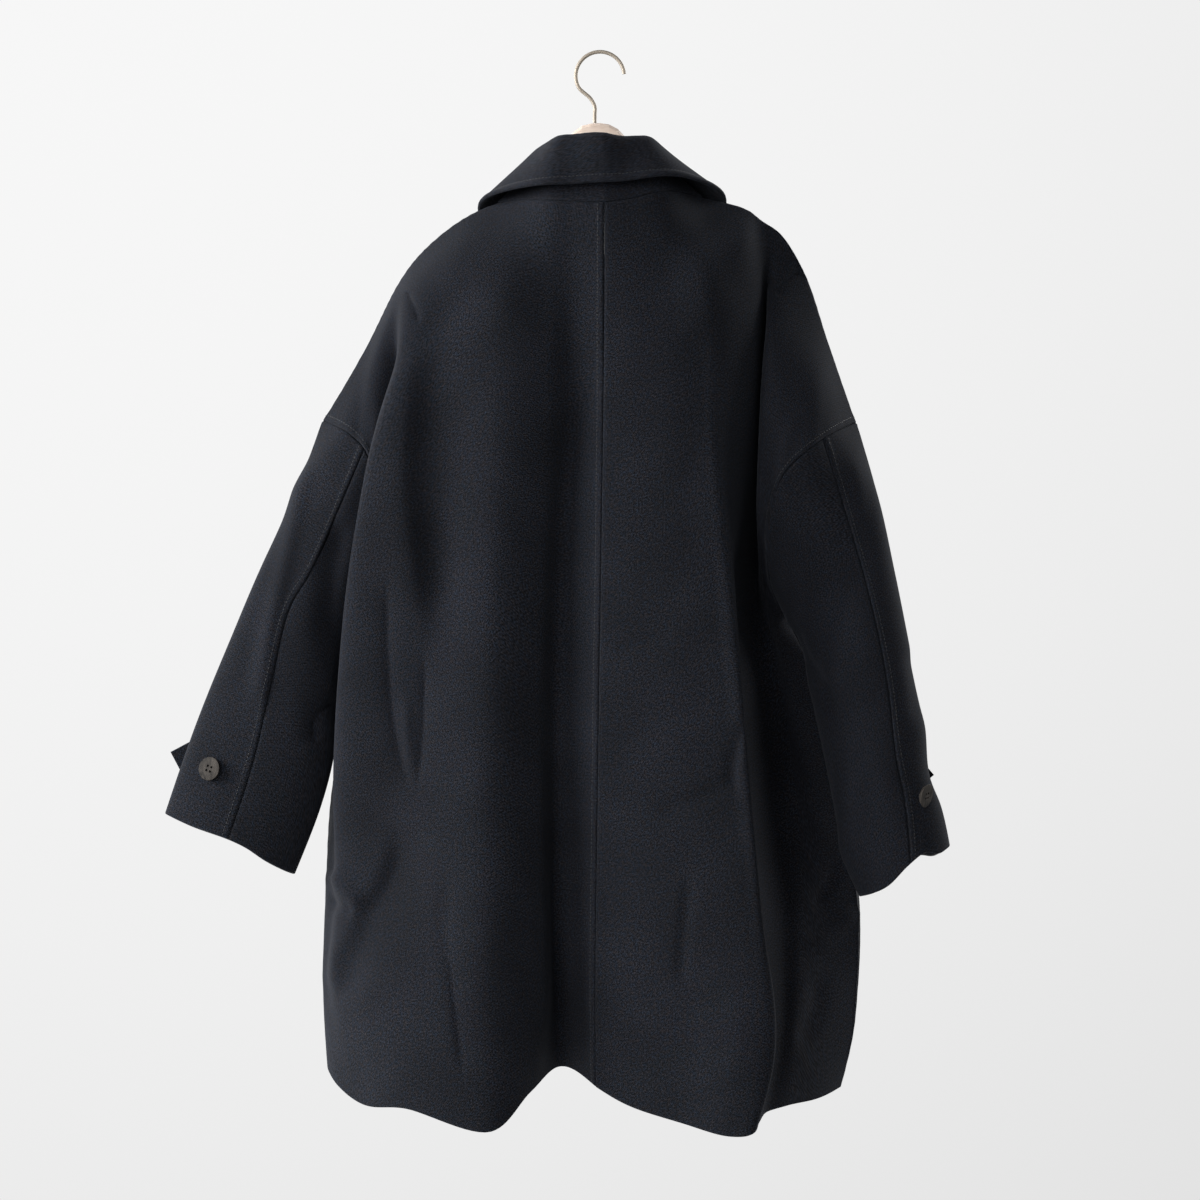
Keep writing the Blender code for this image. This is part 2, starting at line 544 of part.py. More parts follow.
def main():
    """Builds every piece of the coat and its hanger."""
    for thing in list(bpy.data.objects):
        bpy.data.objects.remove(thing)
    cloth = make_material("wool_shell", (0.019, 0.021, 0.026), 0.85, 0.0)
    wood = make_material("pale_wood", (0.76, 0.68, 0.60), 0.55, 0.0)
    steel = make_material("satin_steel", (0.60, 0.55, 0.48), 0.32, 1.0)
    horn = make_material("horn", (0.10, 0.09, 0.08), 0.4, 0.0)

    back = {"right": back_panel(RIGHT_BACK, CHEST["right"]), "left": back_panel(LEFT_BACK, CHEST["left"])}
    front = {side: front_panel(side, back[side]) for side in back}
    rings = {side: sleeve_rings(side, back[side], front[side]) for side in back}

    neck_column = NECK_LINE * STEPS_BETWEEN_LINES
    front_neck = len(FRONT_NECK_SHARES)
    neckline = np.concatenate((front["left"][0, 1:front_neck - 1], back["left"][0, neck_column:0:-1],
                               back["right"][0, :neck_column + 1], front["right"][0, front_neck - 2:0:-1]))
    collar = collar_grid(neckline)
    stand_row = COLLAR_LEAF_ROWS + COLLAR_FOLD_ROWS

    grids = {
        "back_left": back["left"][:, ::-1],
        "back_right": back["right"],
        "front_left": front["left"],
        "front_right": front["right"][:, ::-1],
        "collar_fall": collar[:stand_row + 1],
        "collar_stand": collar[stand_row:],
    }
    for side in rings:
        grids[f"sleeve_{side}_top"], grids[f"sleeve_{side}_under"] = sleeve_pieces(side, rings[side])
    steps = wall_steps(grids)
    for name, grid in grids.items():
        add_wall(name, drawn_in(grid), drawn_in(grid + steps[name]), cloth)
    for side in rings:
        add_button(side, rings[side], horn)
        add_tab(side, rings[side], cloth)
    add_hanger(wood)
    add_hook(steel)


main()
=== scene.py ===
"""Dresses the hanging coat: cloth, sewing, buttons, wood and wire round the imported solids.

Tables are in millimetres and meshes in metres. +Z is up, the coat's back faces -Y and its closed front
faces +Y. The origin is inside the top of the hook's bend.
"""
import logging
import math
from collections.abc import Callable
from dataclasses import dataclass, field
from enum import Enum

import bmesh
import bpy
import numpy as np
from bpy.types import Material, Mesh, Node, NodeSocket, NodeTree, Object
from mathutils import Matrix, Vector, noise


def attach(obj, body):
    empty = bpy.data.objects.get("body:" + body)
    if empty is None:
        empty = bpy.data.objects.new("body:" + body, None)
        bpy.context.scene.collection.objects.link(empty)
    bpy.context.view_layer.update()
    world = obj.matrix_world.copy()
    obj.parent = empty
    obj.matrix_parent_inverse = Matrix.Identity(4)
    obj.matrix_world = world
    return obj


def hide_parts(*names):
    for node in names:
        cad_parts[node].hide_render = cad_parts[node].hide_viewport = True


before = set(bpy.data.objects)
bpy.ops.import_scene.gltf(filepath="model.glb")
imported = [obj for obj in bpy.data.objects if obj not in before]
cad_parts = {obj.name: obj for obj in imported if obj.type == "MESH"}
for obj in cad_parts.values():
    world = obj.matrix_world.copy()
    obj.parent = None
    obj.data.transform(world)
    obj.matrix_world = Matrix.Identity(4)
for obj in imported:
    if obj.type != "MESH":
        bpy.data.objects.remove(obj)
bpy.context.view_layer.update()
LOG = logging.getLogger("coat")

MM = 0.001
TINY = 1e-9
WALL = 3.0
SEAM_GAP = 0.3
SHARP_ANGLE = math.radians(50)
# Steps to a millimetre in which edge points of two panels are matched, and the least cosine between a
# panel's own direction there and the shared one
MATCH_STEPS = 50
LEAST_COSINE = 0.6
# Camera: distance to the hanger, height, half the width of what it sees at the hanger, and the depth of
# the plane that places seen by the camera are measured on
CAMERA_DISTANCE = 3000.0
CAMERA_Z = -519.0
HALF_VIEW = 570.0
SEEN_PLANE_Y = -80.0

Knot = tuple[float, float, float]
Place = tuple[float, float]


class Side(Enum):
    """Side of the coat as its back is looked at."""

    RIGHT = "right"
    LEFT = "left"

    @property
    def sign(self) -> float:
        """Sign of x on this side."""
        return 1.0 if self is Side.RIGHT else -1.0


class Rim(Enum):
    """The four edges of a sheet's grid."""

    TOP = "first row"
    BOTTOM = "last row"
    FIRST = "first column"
    LAST = "last column"


class EdgeKind(Enum):
    """How an edge of a sheet is finished."""

    SEAM = "sewn to a neighbour"
    FOLD = "turned in and free"


def smooth_through(points: np.ndarray, knots: np.ndarray, places: np.ndarray) -> np.ndarray:
    """Reads a smooth curve that passes through points at the given knots.

    Args:
        points: one row of coordinates for each knot.
        knots: rising numbers, one for each point.
        places: numbers to read the curve at.

    Returns:
        One row of coordinates for each place.
    """
    points = np.asarray(points, float)
    knots = np.asarray(knots, float)
    gaps = np.diff(knots)[:, None]
    slopes = np.diff(points, axis=0) / gaps
    tangents = np.empty_like(points)
    tangents[1:-1] = (gaps[1:] * slopes[:-1] + gaps[:-1] * slopes[1:]) / (gaps[1:] + gaps[:-1])
    tangents[0] = slopes[0] if len(points) == 2 else 1.5 * slopes[0] - 0.5 * tangents[1]
    tangents[-1] = slopes[-1] if len(points) == 2 else 1.5 * slopes[-1] - 0.5 * tangents[-2]
    span = np.clip(np.searchsorted(knots, places, side="right") - 1, 0, len(knots) - 2)
    gap = gaps[span]
    u = (np.asarray(places)[:, None] - knots[span][:, None]) / gap
    return ((1 + 2 * u) * (1 - u) ** 2 * points[span] + u * (1 - u) ** 2 * gap * tangents[span]
            + u ** 2 * (3 - 2 * u) * points[span + 1] + u ** 2 * (u - 1) * gap * tangents[span + 1])


def smooth_step(share: np.ndarray) -> np.ndarray:
    """Soft ramp from 0 to 1 as the share goes from 0 to 1."""
    share = np.clip(share, 0.0, 1.0)
    return share * share * (3.0 - 2.0 * share)


def running_length(points: np.ndarray, axis: int = 0) -> np.ndarray:
    """Length along a line, or along the lines of a grid, from the first point.

    Args:
        points: points of a line or a grid, coordinates last.
        axis: axis of the grid to run along.

    Returns:
        Lengths, 0 at the first point.
    """
    steps = np.linalg.norm(np.diff(points, axis=axis), axis=-1)
    return np.cumsum(np.insert(steps, 0, 0.0, axis=axis), axis=axis)


def unit(vectors: np.ndarray) -> np.ndarray:
    """The vectors at length 1."""
    return vectors / np.maximum(np.linalg.norm(vectors, axis=-1, keepdims=True), TINY)


def as_seen(points: np.ndarray) -> np.ndarray:
    """Places x, z of points as the camera sees them, on the plane of the back's outer folds."""
    scale = (CAMERA_DISTANCE + SEEN_PLANE_Y) / (CAMERA_DISTANCE + points[..., 1])
    return np.stack((points[..., 0] * scale, CAMERA_Z + (points[..., 2] - CAMERA_Z) * scale), axis=-1)


def linear(shade: str) -> tuple[float, float, float, float]:
    """Linear colour, with full alpha, of an sRGB hex value such as "#1c1e22"."""
    parts = [int(shade[k:k + 2], 16) / 255 for k in (1, 3, 5)]
    red, green, blue = (p / 12.92 if p <= 0.04045 else ((p + 0.055) / 1.055) ** 2.4 for p in parts)
    return (red, green, blue, 1.0)


def read_between(rows: np.ndarray, knots: np.ndarray, places: np.ndarray | float) -> np.ndarray:
    """Reads rows of three values, which belong to rising knots, at one place or more between them."""
    return np.stack([np.interp(places, knots, rows[:, k]) for k in range(3)], axis=-1)


def set_inputs(tree: NodeTree, node: Node, inputs: dict) -> None:
    """Gives inputs of a node, by name or number, a value or the output that feeds them."""
    for name, value in inputs.items():
        if isinstance(value, NodeSocket):
            tree.links.new(value, node.inputs[name])
        else:
            node.inputs[name].default_value = value


def add_node(tree: NodeTree, kind: str, settings: dict | None = None, inputs: dict | None = None) -> Node:
    """Adds a node to a tree.

    Args:
        tree: tree to add it to.
        kind: type name of the node.
        settings: values of the node's own settings.
        inputs: for each input, by name or number, a value or the output that feeds it.

    Returns:
        The node.
    """
    node = tree.nodes.new(kind)
    for name, value in (settings or {}).items():
        setattr(node, name, value)
    set_inputs(tree, node, inputs or {})
    return node


def own_places(tree: NodeTree) -> NodeSocket:
    """Places on the object's own coordinates, in metres."""
    return add_node(tree, "ShaderNodeTexCoord").outputs["Object"]


def thread_places(tree: NodeTree) -> NodeSocket:
    """Places on the cloth's own UV map, in metres."""
    return add_node(tree, "ShaderNodeUVMap", {"uv_map": "cloth"}).outputs["UV"]


def drawn_out(tree: NodeTree, place: NodeSocket, scale: Knot, turn: Knot = (0.0, 0.0, 0.0)) -> NodeSocket:
    """Places turned and scaled, so that a pattern is drawn out where the scale is small."""
    inputs = {"Vector": place, "Rotation": turn, "Scale": scale}
    return add_node(tree, "ShaderNodeMapping", None, inputs).outputs["Vector"]


def speckle(tree: NodeTree, place: NodeSocket, size_mm: float, detail: float = 2.0, roughness: float = 0.5,
            distortion: float = 0.0) -> NodeSocket:
    """Irregular pattern from 0 to 1 with spots of about a size in millimetres."""
    inputs = {"Vector": place, "Scale": 1 / (size_mm * MM), "Detail": detail, "Roughness": roughness,
              "Distortion": distortion}
    return add_node(tree, "ShaderNodeTexNoise", None, inputs).outputs["Fac"]


def stripes(tree: NodeTree, place: NodeSocket, spacing_mm: float, distortion: float = 0.0,
            detail_scale: float = 1.0) -> NodeSocket:
    """Diagonal stripes from 0 to 1, their distance along an axis in millimetres."""
    # The node multiplies its places by 10 before it takes their sine
    scale = 2 * math.pi / (10 * spacing_mm * MM)
    inputs = {"Vector": place, "Scale": scale, "Distortion": distortion, "Detail Scale": detail_scale}
    return add_node(tree, "ShaderNodeTexWave", {"bands_direction": "DIAGONAL"}, inputs).outputs["Fac"]


def stretch(tree: NodeTree, value: NodeSocket, low: float, high: float, to_low: float = 0.0,
            to_high: float = 1.0) -> NodeSocket:
    """A value's range from low to high, stretched over another range and held at its ends."""
    inputs = {"Value": value, "From Min": low, "From Max": high, "To Min": to_low, "To Max": to_high}
    return add_node(tree, "ShaderNodeMapRange", None, inputs).outputs["Result"]


def compute(tree: NodeTree, operation: str, *values: NodeSocket | float) -> NodeSocket:
    """Result of a calculation with two or three values."""
    return add_node(tree, "ShaderNodeMath", {"operation": operation}, dict(enumerate(values))).outputs[0]


def blend(tree: NodeTree, share: NodeSocket, first: NodeSocket | str,
          second: NodeSocket | str) -> NodeSocket:
    """Colour a share of the way from one to another, each an output or an sRGB hex value."""
    ends = [linear(end) if isinstance(end, str) else end for end in (first, second)]
    # Inputs 6 and 7 are the node's two colours
    inputs = {0: share, 6: ends[0], 7: ends[1]}
    return add_node(tree, "ShaderNodeMix", {"data_type": "RGBA"}, inputs).outputs[2]


def relief(tree: NodeTree, height: NodeSocket, strength: float, depth_mm: float,
           sunk: bool = False) -> NodeSocket:
    """Normals of a surface with a fine raised or sunk pattern."""
    inputs = {"Height": height, "Strength": strength, "Distance": depth_mm * MM}
    return add_node(tree, "ShaderNodeBump", {"invert": sunk}, inputs).outputs["Normal"]


@dataclass(frozen=True)
class Finish:
    """A material, described by what the sockets of its shader get."""

    name: str

    def make(self) -> Material:
        """Builds the material."""
        material = bpy.data.materials.new(self.name)
        material.use_nodes = True
        tree = material.node_tree
        set_inputs(tree, tree.nodes["Principled BSDF"], self.sockets(tree))
        return material

    def sockets(self, tree: NodeTree) -> dict:
        """Value or output for each socket; every finish has its own."""
        raise NotImplementedError


@dataclass(frozen=True)
class WoolTwill(Finish):
    """Milled wool twill, woven and brushed: dark, matt and a little hairy, with faint lighter flecks.

    The nap hides most of the diagonal, and light that grazes it gives a faint pale bloom.
    """

    name: str = "Wool_twill"
    shade: str = "#020304"
    cool_fleck: str = "#232a36"
    warm_fleck: str = "#2e2b2e"
    worn: str = "#24282f"
    bloom: str = "#aab2c2"
    # The real diagonal is about 0.8 mm and the flecks 0.4 mm: both are drawn coarser so that they show
    diagonal_mm: float = 1.7
    fleck_mm: float = 1.5
    yarn_mm: float = 4.0
    cloud_mm: float = 90.0
    cloud_range: Place = (0.55, 0.95)
    diagonal_share: float = 0.22
    diagonal_relief: float = 0.5
    relief_mm: float = 0.2

    def sockets(self, tree: NodeTree) -> dict:
        """Weave, flecks of two colours in slow clouds, and wear along the edges."""
        threads = thread_places(tree)
        diagonal = stripes(tree, threads, math.sqrt(2) * self.diagonal_mm, distortion=2.5,
                           detail_scale=1.5)
        flecks = speckle(tree, threads, self.fleck_mm, detail=3.0, roughness=0.65)
        yarns = speckle(tree, threads, self.yarn_mm, detail=4.0, roughness=0.7)
        clouds = speckle(tree, threads, self.cloud_mm, detail=3.0)
        fleck = blend(tree, stretch(tree, yarns, 0.4, 0.62), self.cool_fleck, self.warm_fleck)
        pale = stretch(tree, flecks, 0.42, 0.66)
        weave = compute(tree, "MULTIPLY_ADD", diagonal, self.diagonal_share, pale)
        amount = compute(tree, "MULTIPLY", weave, stretch(tree, clouds, 0.3, 0.7, *self.cloud_range))
        flecked = blend(tree, amount, self.shade, fleck)
        wear = add_node(tree, "ShaderNodeAttribute", {"attribute_name": "edge_wear"}).outputs["Fac"]
        height = compute(tree, "MULTIPLY_ADD", diagonal, self.diagonal_relief, flecks)
        return {
            "Base Color": blend(tree, compute(tree, "MULTIPLY", wear, flecks), flecked, self.worn),
            "Normal": relief(tree, height, strength=0.6, depth_mm=self.relief_mm),
            "Roughness": 0.93,
            "Specular IOR Level": 0.1,
            "Sheen Weight": 0.05,
            "Sheen Roughness": 0.55,
            "Sheen Tint": linear(self.bloom),
        }


@dataclass(frozen=True)
class SatinLining(Finish):
    """Filament lining in a satin weave: smooth and dark, with a soft gloss along its threads."""

    name: str = "Satin_lining"
    shade: str = "#16181d"
    light: str = "#22262d"
    # Real threads are 0.1 mm apart: drawn coarser so that they show
    thread_mm: float = 1.2
    drawn: Knot = (1.0, 0.04, 1.0)
    relief_mm: float = 0.1

    def sockets(self, tree: NodeTree) -> dict:
        """Fine lines along the threads."""
        lines = speckle(tree, drawn_out(tree, thread_places(tree), self.drawn), self.thread_mm)
        return {
            "Base Color": blend(tree, lines, self.shade, self.light),
            "Normal": relief(tree, lines, strength=0.25, depth_mm=self.relief_mm),
            "Roughness": 0.48,
            "Specular IOR Level": 0.35,
        }


@dataclass(frozen=True)
class SewingThread(Finish):
    """Spun polyester thread: near black, twisted, a touch glossier than the wool."""

    name: str = "Sewing_thread"
    shade: str = "#060709"
    light: str = "#101216"
    twist_mm: float = 0.6
    relief_mm: float = 0.1

    def sockets(self, tree: NodeTree) -> dict:
        """Slanting stripes of the twist."""
        twist = stripes(tree, own_places(tree), self.twist_mm)
        return {
            "Base Color": blend(tree, twist, self.shade, self.light),
            "Normal": relief(tree, twist, strength=0.4, depth_mm=self.relief_mm),
            "Roughness": 0.6,
        }


@dataclass(frozen=True)
class PolishedHorn(Finish):
    """Turned horn, its polish dulled by wear: grey-brown with pale drifting streaks and hardly any gloss."""

    name: str = "Polished_horn"
    dark: str = "#191716"
    pale: str = "#423e3a"
    streak_mm: float = 5.0
    drawn: Knot = (1.0, 1.0, 0.3)
    slant: Knot = (0.0, 0.5, 0.0)
    dullness: Place = (0.55, 0.68)

    def sockets(self, tree: NodeTree) -> dict:
        """Streaks drawn out at a slant, which are a little duller where they are pale."""
        place = drawn_out(tree, own_places(tree), self.drawn, self.slant)
        streaks = speckle(tree, place, self.streak_mm, detail=5.0, roughness=0.6, distortion=1.2)
        return {
            "Base Color": blend(tree, stretch(tree, streaks, 0.35, 0.7), self.dark, self.pale),
            "Roughness": stretch(tree, streaks, 0.0, 1.0, *self.dullness),
            "IOR": 1.54,
            "Specular IOR Level": 0.08,
        }


@dataclass(frozen=True)
class LacqueredBeech(Finish):
    """Planed and lacquered beech: pale, slightly pink, with short dark flecks along the grain."""

    name: str = "Lacquered_beech"
    pale: str = "#e2d2c5"
    grain: str = "#c9b3a2"
    fleck: str = "#a88e7a"
    grain_mm: float = 3.0
    fleck_mm: float = 0.9
    fleck_share: float = 0.6
    drawn: Knot = (0.08, 1.0, 1.0)
    relief_mm: float = 0.1

    def sockets(self, tree: NodeTree) -> dict:
        """Soft bands and sunk pores, with the grain along X, under a thin coat."""
        along = drawn_out(tree, own_places(tree), self.drawn)
        bands = speckle(tree, along, self.grain_mm, detail=3.0, distortion=0.6)
        spots = speckle(tree, along, self.fleck_mm, detail=1.0)
        pores = stretch(tree, spots, 0.6, 0.75, to_high=self.fleck_share)
        grained = blend(tree, bands, self.pale, self.grain)
        return {
            "Base Color": blend(tree, pores, grained, self.fleck),
            "Normal": relief(tree, pores, strength=0.3, depth_mm=self.relief_mm, sunk=True),
            "Roughness": 0.5,
            "Coat Weight": 0.25,
            "Coat Roughness": 0.3,
        }


@dataclass(frozen=True)
class SatinNickelWire(Finish):
    """Steel wire with a satin nickel plate: soft warm grey metal with a faint mottle."""

    name: str = "Satin_nickel_wire"
    shade: str = "#aca397"
    dull: str = "#a39a8e"
    mottle_mm: float = 4.0
    dullness: Place = (0.66, 0.72)

    def sockets(self, tree: NodeTree) -> dict:
        """Spots that are a little darker and duller."""
        spots = speckle(tree, own_places(tree), self.mottle_mm, detail=4.0)
        return {
            "Base Color": blend(tree, spots, self.shade, self.dull),
            "Roughness": stretch(tree, spots, 0.0, 1.0, *self.dullness),
            "Metallic": 1.0,
        }


@dataclass(frozen=True)
class MattPaper(Finish):
    """Coated paper floor: pale and matt, with a barely visible mottle."""

    name: str = "Matt_paper"
    shade: str = "#c8c7c5"
    mottle: str = "#bfbebc"
    mottle_mm: float = 60.0

    def sockets(self, tree: NodeTree) -> dict:
        """Large soft spots."""
        spots = speckle(tree, own_places(tree), self.mottle_mm, detail=4.0)
        return {"Base Color": blend(tree, spots, self.shade, self.mottle), "Roughness": 0.8}


@dataclass(frozen=True)
class Crease:
    """A soft trough or ridge in a panel.

    Attributes:
        path: places x, z along it, as the camera sees them.
        height: how far it stands out, or lies in where negative.
        widths: reach to the two sides of the path, left of its run first.
        fade: length over which it dies away at each end.
        sharp: whether its sides meet in a line, as at a dart or a pressed fold.
        spacing: distance between the points that stand for its path.
    """

    path: tuple[Place, ...]
    height: float
    widths: tuple[float, float]
    fade: float
    sharp: bool = False
    spacing: float = 8.0

    def heights(self, seen: np.ndarray) -> np.ndarray:
        """Height of the crease at the points of a grid.

        Args:
            seen: places x, z of the grid's points, as the camera sees them.

        Returns:
            One height for each point, in millimetres.
        """
        knots = np.array(self.path, float)
        lengths = running_length(knots)
        stations = np.linspace(0.0, lengths[-1], max(2, int(lengths[-1] / self.spacing)))
        route = smooth_through(knots, lengths, stations)
        step = np.diff(route, axis=0)
        size = (step ** 2).sum(axis=1)
        away = seen.reshape(-1, 1, 2) - route[:-1]
        share = np.clip((away * step).sum(axis=2) / size, 0.0, 1.0)
        offset = away - share[..., None] * step
        distance = np.linalg.norm(offset, axis=2)
        nearest = distance.argmin(axis=1)
        every = np.arange(len(nearest))
        off = offset[every, nearest]
        run = step[nearest]
        turn = run[:, 0] * off[:, 1] - run[:, 1] * off[:, 0]
        width = np.where(turn > 0, self.widths[0], self.widths[1])
        along = stations[nearest] + share[every, nearest] * np.sqrt(size[nearest])
        ends = smooth_step(np.minimum(along, lengths[-1] - along) / self.fade)
        away = distance[every, nearest] / width
        heights = self.height * ends * np.exp(-away if self.sharp else -away ** 2)
        return heights.reshape(seen.shape[:2])


@dataclass(frozen=True)
class Edge:
    """Finish of one edge of a sheet.

    Attributes:
        kind: sewn or turned in.
        allowance: width of the turned-under cloth that shows as a low ridge beside a seam.
        lift: height of that ridge.
        stitch: distance of a row of stitches from the edge, none where 0.
        until: share of the edge, from its start, that ridge and stitches run along.
        hem: depth of the turned-up cloth behind a free edge.
        end_slope: how steeply the ridge ends along the edge.
        ridge_slope: width over which the ridge falls away, and hem_slope the turned-up cloth.
        pucker: height of the small puckers beside a seam.
        puckered: length that an edge is taken to have for them.
        pucker_shifts: height and length of the slow waves that make them uneven.
    """

    kind: EdgeKind
    allowance: float = 0.0
    lift: float = 0.0
    stitch: float = 0.0
    until: float = 1.0
    hem: float = 0.0
    groove_depth: float = 1.7
    groove_width: float = 2.6
    fold_radius: float = 1.6
    end_slope: float = 40.0
    ridge_slope: float = 2.2
    hem_slope: float = 6.0
    hem_fullness: float = 1.2
    pucker: float = 0.16
    pucker_length: float = 17.0
    pucker_reach: float = 9.0
    puckered: float = 700.0
    pucker_shifts: tuple[Place, ...] = ((2.2, 41.0), (1.3, 17.3))

    def groove(self, run: np.ndarray) -> np.ndarray:
        """Depth, as a negative height, to which the edge is drawn in at a distance from it."""
        if self.kind is EdgeKind.SEAM:
            return -self.groove_depth * np.clip(1.0 - run / self.groove_width, 0.0, 1.0) ** 2
        inside = np.clip(self.fold_radius - run, 0.0, self.fold_radius)
        return np.sqrt(self.fold_radius ** 2 - inside ** 2) - self.fold_radius

    def ridge(self, run: np.ndarray, along: np.ndarray) -> np.ndarray:
        """Height of the ridge beside the edge and, at a seam, of its small puckers.

        Args:
            run: distances from the edge.
            along: shares of the way along the edge.

        Returns:
            Heights in millimetres.
        """
        there = smooth_step((self.until - along) * self.end_slope)
        ridge = self.lift * there * (1.0 - smooth_step((run - self.allowance) / self.ridge_slope + 0.5))
        if self.kind is EdgeKind.FOLD:
            return ridge
        way = along * self.puckered
        phase = 2.0 * math.pi * way / self.pucker_length
        for height, length in self.pucker_shifts:
            phase = phase + height * np.sin(way / length)
        return ridge + self.pucker * np.sin(phase) * np.exp(-run / self.pucker_reach)

    def fullness(self, run: np.ndarray) -> np.ndarray:
        """Extra thickness of the turned-up cloth near a free edge."""
        if self.hem == 0.0:
            return np.zeros_like(run)
        return self.hem_fullness * (1.0 - smooth_step((run - self.hem) / self.hem_slope + 0.5))


SEAM = Edge(EdgeKind.SEAM)
FOLD = Edge(EdgeKind.FOLD)
HEM = Edge(EdgeKind.FOLD, hem=38.0, fold_radius=2.0)
LAPPED = Edge(EdgeKind.SEAM, allowance=7.0, lift=0.45, stitch=6.2)


@dataclass
class ClothPiece:
    """One panel of cloth: a thin shell on the form of its solid.

    Attributes:
        name: the node that it stands for.
        grid: points of the solid's outer face, rows from top to bottom.
        edges: finish of each of its four edges.
        creases: troughs and ridges in it.
        flipped: whether the face that shows is the solid's other one.
        thickness: of the shell.
        held: how the cloth is held; not used.
        rests_on: what carries it; not used.
        edge_lines: close lines along an edge, as shares of the grid's first step.
        crease_lines: close columns at a sharp crease, as shares of a step.
        sharp_reach: share of a sharp crease's height down to which they are added.
        wear: how worn the cloth is at its edges, and wear_reach how far in.
    """

    name: str
    grid: np.ndarray
    edges: dict[Rim, Edge]
    creases: tuple[Crease, ...] = ()
    flipped: bool = False
    thickness: float = WALL
    held: str = "hung"
    rests_on: tuple[str, ...] = ("hanger",)
    wave_height: float = 0.9
    wave_size: tuple[float, float, float] = (62.0, 62.0, 150.0)
    edge_lines: tuple[float, ...] = (0.18, 0.42, 0.70)
    crease_lines: tuple[float, ...] = (0.25, 0.5, 0.75)
    sharp_reach: float = 0.3
    wear: float = 0.15
    wear_reach: float = 2.5
    normals: np.ndarray = field(init=False)
    reach: np.ndarray = field(init=False)
    outer: np.ndarray = field(init=False)
    runs: dict[Rim, np.ndarray] = field(init=False)

    def __post_init__(self) -> None:
        """Adds close lines at sharp creases and edges and reads the grid's directions and lengths."""
        self.add_columns()
        for axis in (0, 1):
            lines = np.moveaxis(self.grid, axis, 0)
            start = [lines[0] + (lines[1] - lines[0]) * share for share in self.edge_lines]
            end = [lines[-1] + (lines[-2] - lines[-1]) * share for share in self.edge_lines[::-1]]
            lines = np.concatenate((lines[:1], start, lines[1:-1], end, lines[-1:]))
            self.grid = np.moveaxis(lines, 0, axis)
        self.normals = unit(np.cross(np.gradient(self.grid, axis=0), np.gradient(self.grid, axis=1)))
        self.reach = np.ones(self.grid.shape[:2])
        down = running_length(self.grid, 0)
        across = running_length(self.grid, 1)
        self.runs = {Rim.TOP: down, Rim.BOTTOM: down[-1:] - down,
                     Rim.FIRST: across, Rim.LAST: across[:, -1:] - across}

    def add_columns(self) -> None:
        """Adds close columns where a sharp crease runs."""
        seen = as_seen(self.grid)
        depth = np.zeros(seen.shape[:2])
        for crease in self.creases:
            if crease.sharp:
                depth = np.maximum(depth, np.abs(crease.heights(seen) / crease.height))
        near = (depth > self.sharp_reach).any(axis=0)
        columns = [self.grid[:, 0]]
        for place in range(1, self.grid.shape[1]):
            before, after = self.grid[:, place - 1], self.grid[:, place]
            if near[place - 1] and near[place]:
                columns += [before + share * (after - before) for share in self.crease_lines]
            columns.append(after)
        self.grid = np.stack(columns, axis=1)

    @property
    def facing(self) -> np.ndarray:
        """Directions that the face that shows looks in."""
        return -self.normals if self.flipped else self.normals

    def rim_mask(self) -> np.ndarray:
        """True at the grid's points on its four edges."""
        mask = np.ones(self.grid.shape[:2], bool)
        mask[1:-1, 1:-1] = False
        return mask

    def shares_along(self, rim: Rim) -> np.ndarray:
        """Share of the way along an edge at each point of the grid."""
        upright = rim in (Rim.FIRST, Rim.LAST)
        run = self.runs[Rim.TOP if upright else Rim.FIRST]
        return run / np.maximum(run[-1:] if upright else run[:, -1:], TINY)

    def undulation(self) -> np.ndarray:
        """Slow uneven waves of hanging cloth, the same on both sides of a seam."""
        places = (self.grid / np.array(self.wave_size)).reshape(-1, 3).tolist()
        heights = [noise.noise(place) for place in places]
        return self.wave_height * np.array(heights).reshape(self.grid.shape[:2])

    def shape(self) -> np.ndarray:
        """Sets the face that shows and returns the points of the other one."""
        body = self.undulation()
        seen = as_seen(self.grid)
        for crease in self.creases:
            body = body + crease.heights(seen)
        front = body + (self.thickness if self.flipped else 0.0)
        back = front - self.thickness
        groove = np.zeros_like(body)
        rounding = np.zeros_like(body)
        for rim, edge in self.edges.items():
            run = self.runs[rim]
            groove = np.minimum(groove, edge.groove(run))
            front = front + edge.ridge(run, self.shares_along(rim))
            back = back - edge.fullness(run)
            if edge.kind is EdgeKind.FOLD:
                rounding = np.minimum(rounding, edge.groove(run))
        base = self.drawn_in()
        self.outer = base + self.facing * (front + groove)[..., None]
        return base + self.facing * (np.where(back < 0, back * self.reach, back) - rounding)[..., None]

    def drawn_in(self) -> np.ndarray:
        """The grid with its edges drawn in by half the gap at a seam."""
        grid = self.grid.copy()
        for edge, inside in ((0, 1), (-1, -2)):
            for view in (grid, grid.transpose(1, 0, 2)):
                view[edge] += unit(view[inside] - view[edge]) * SEAM_GAP / 2
        return grid

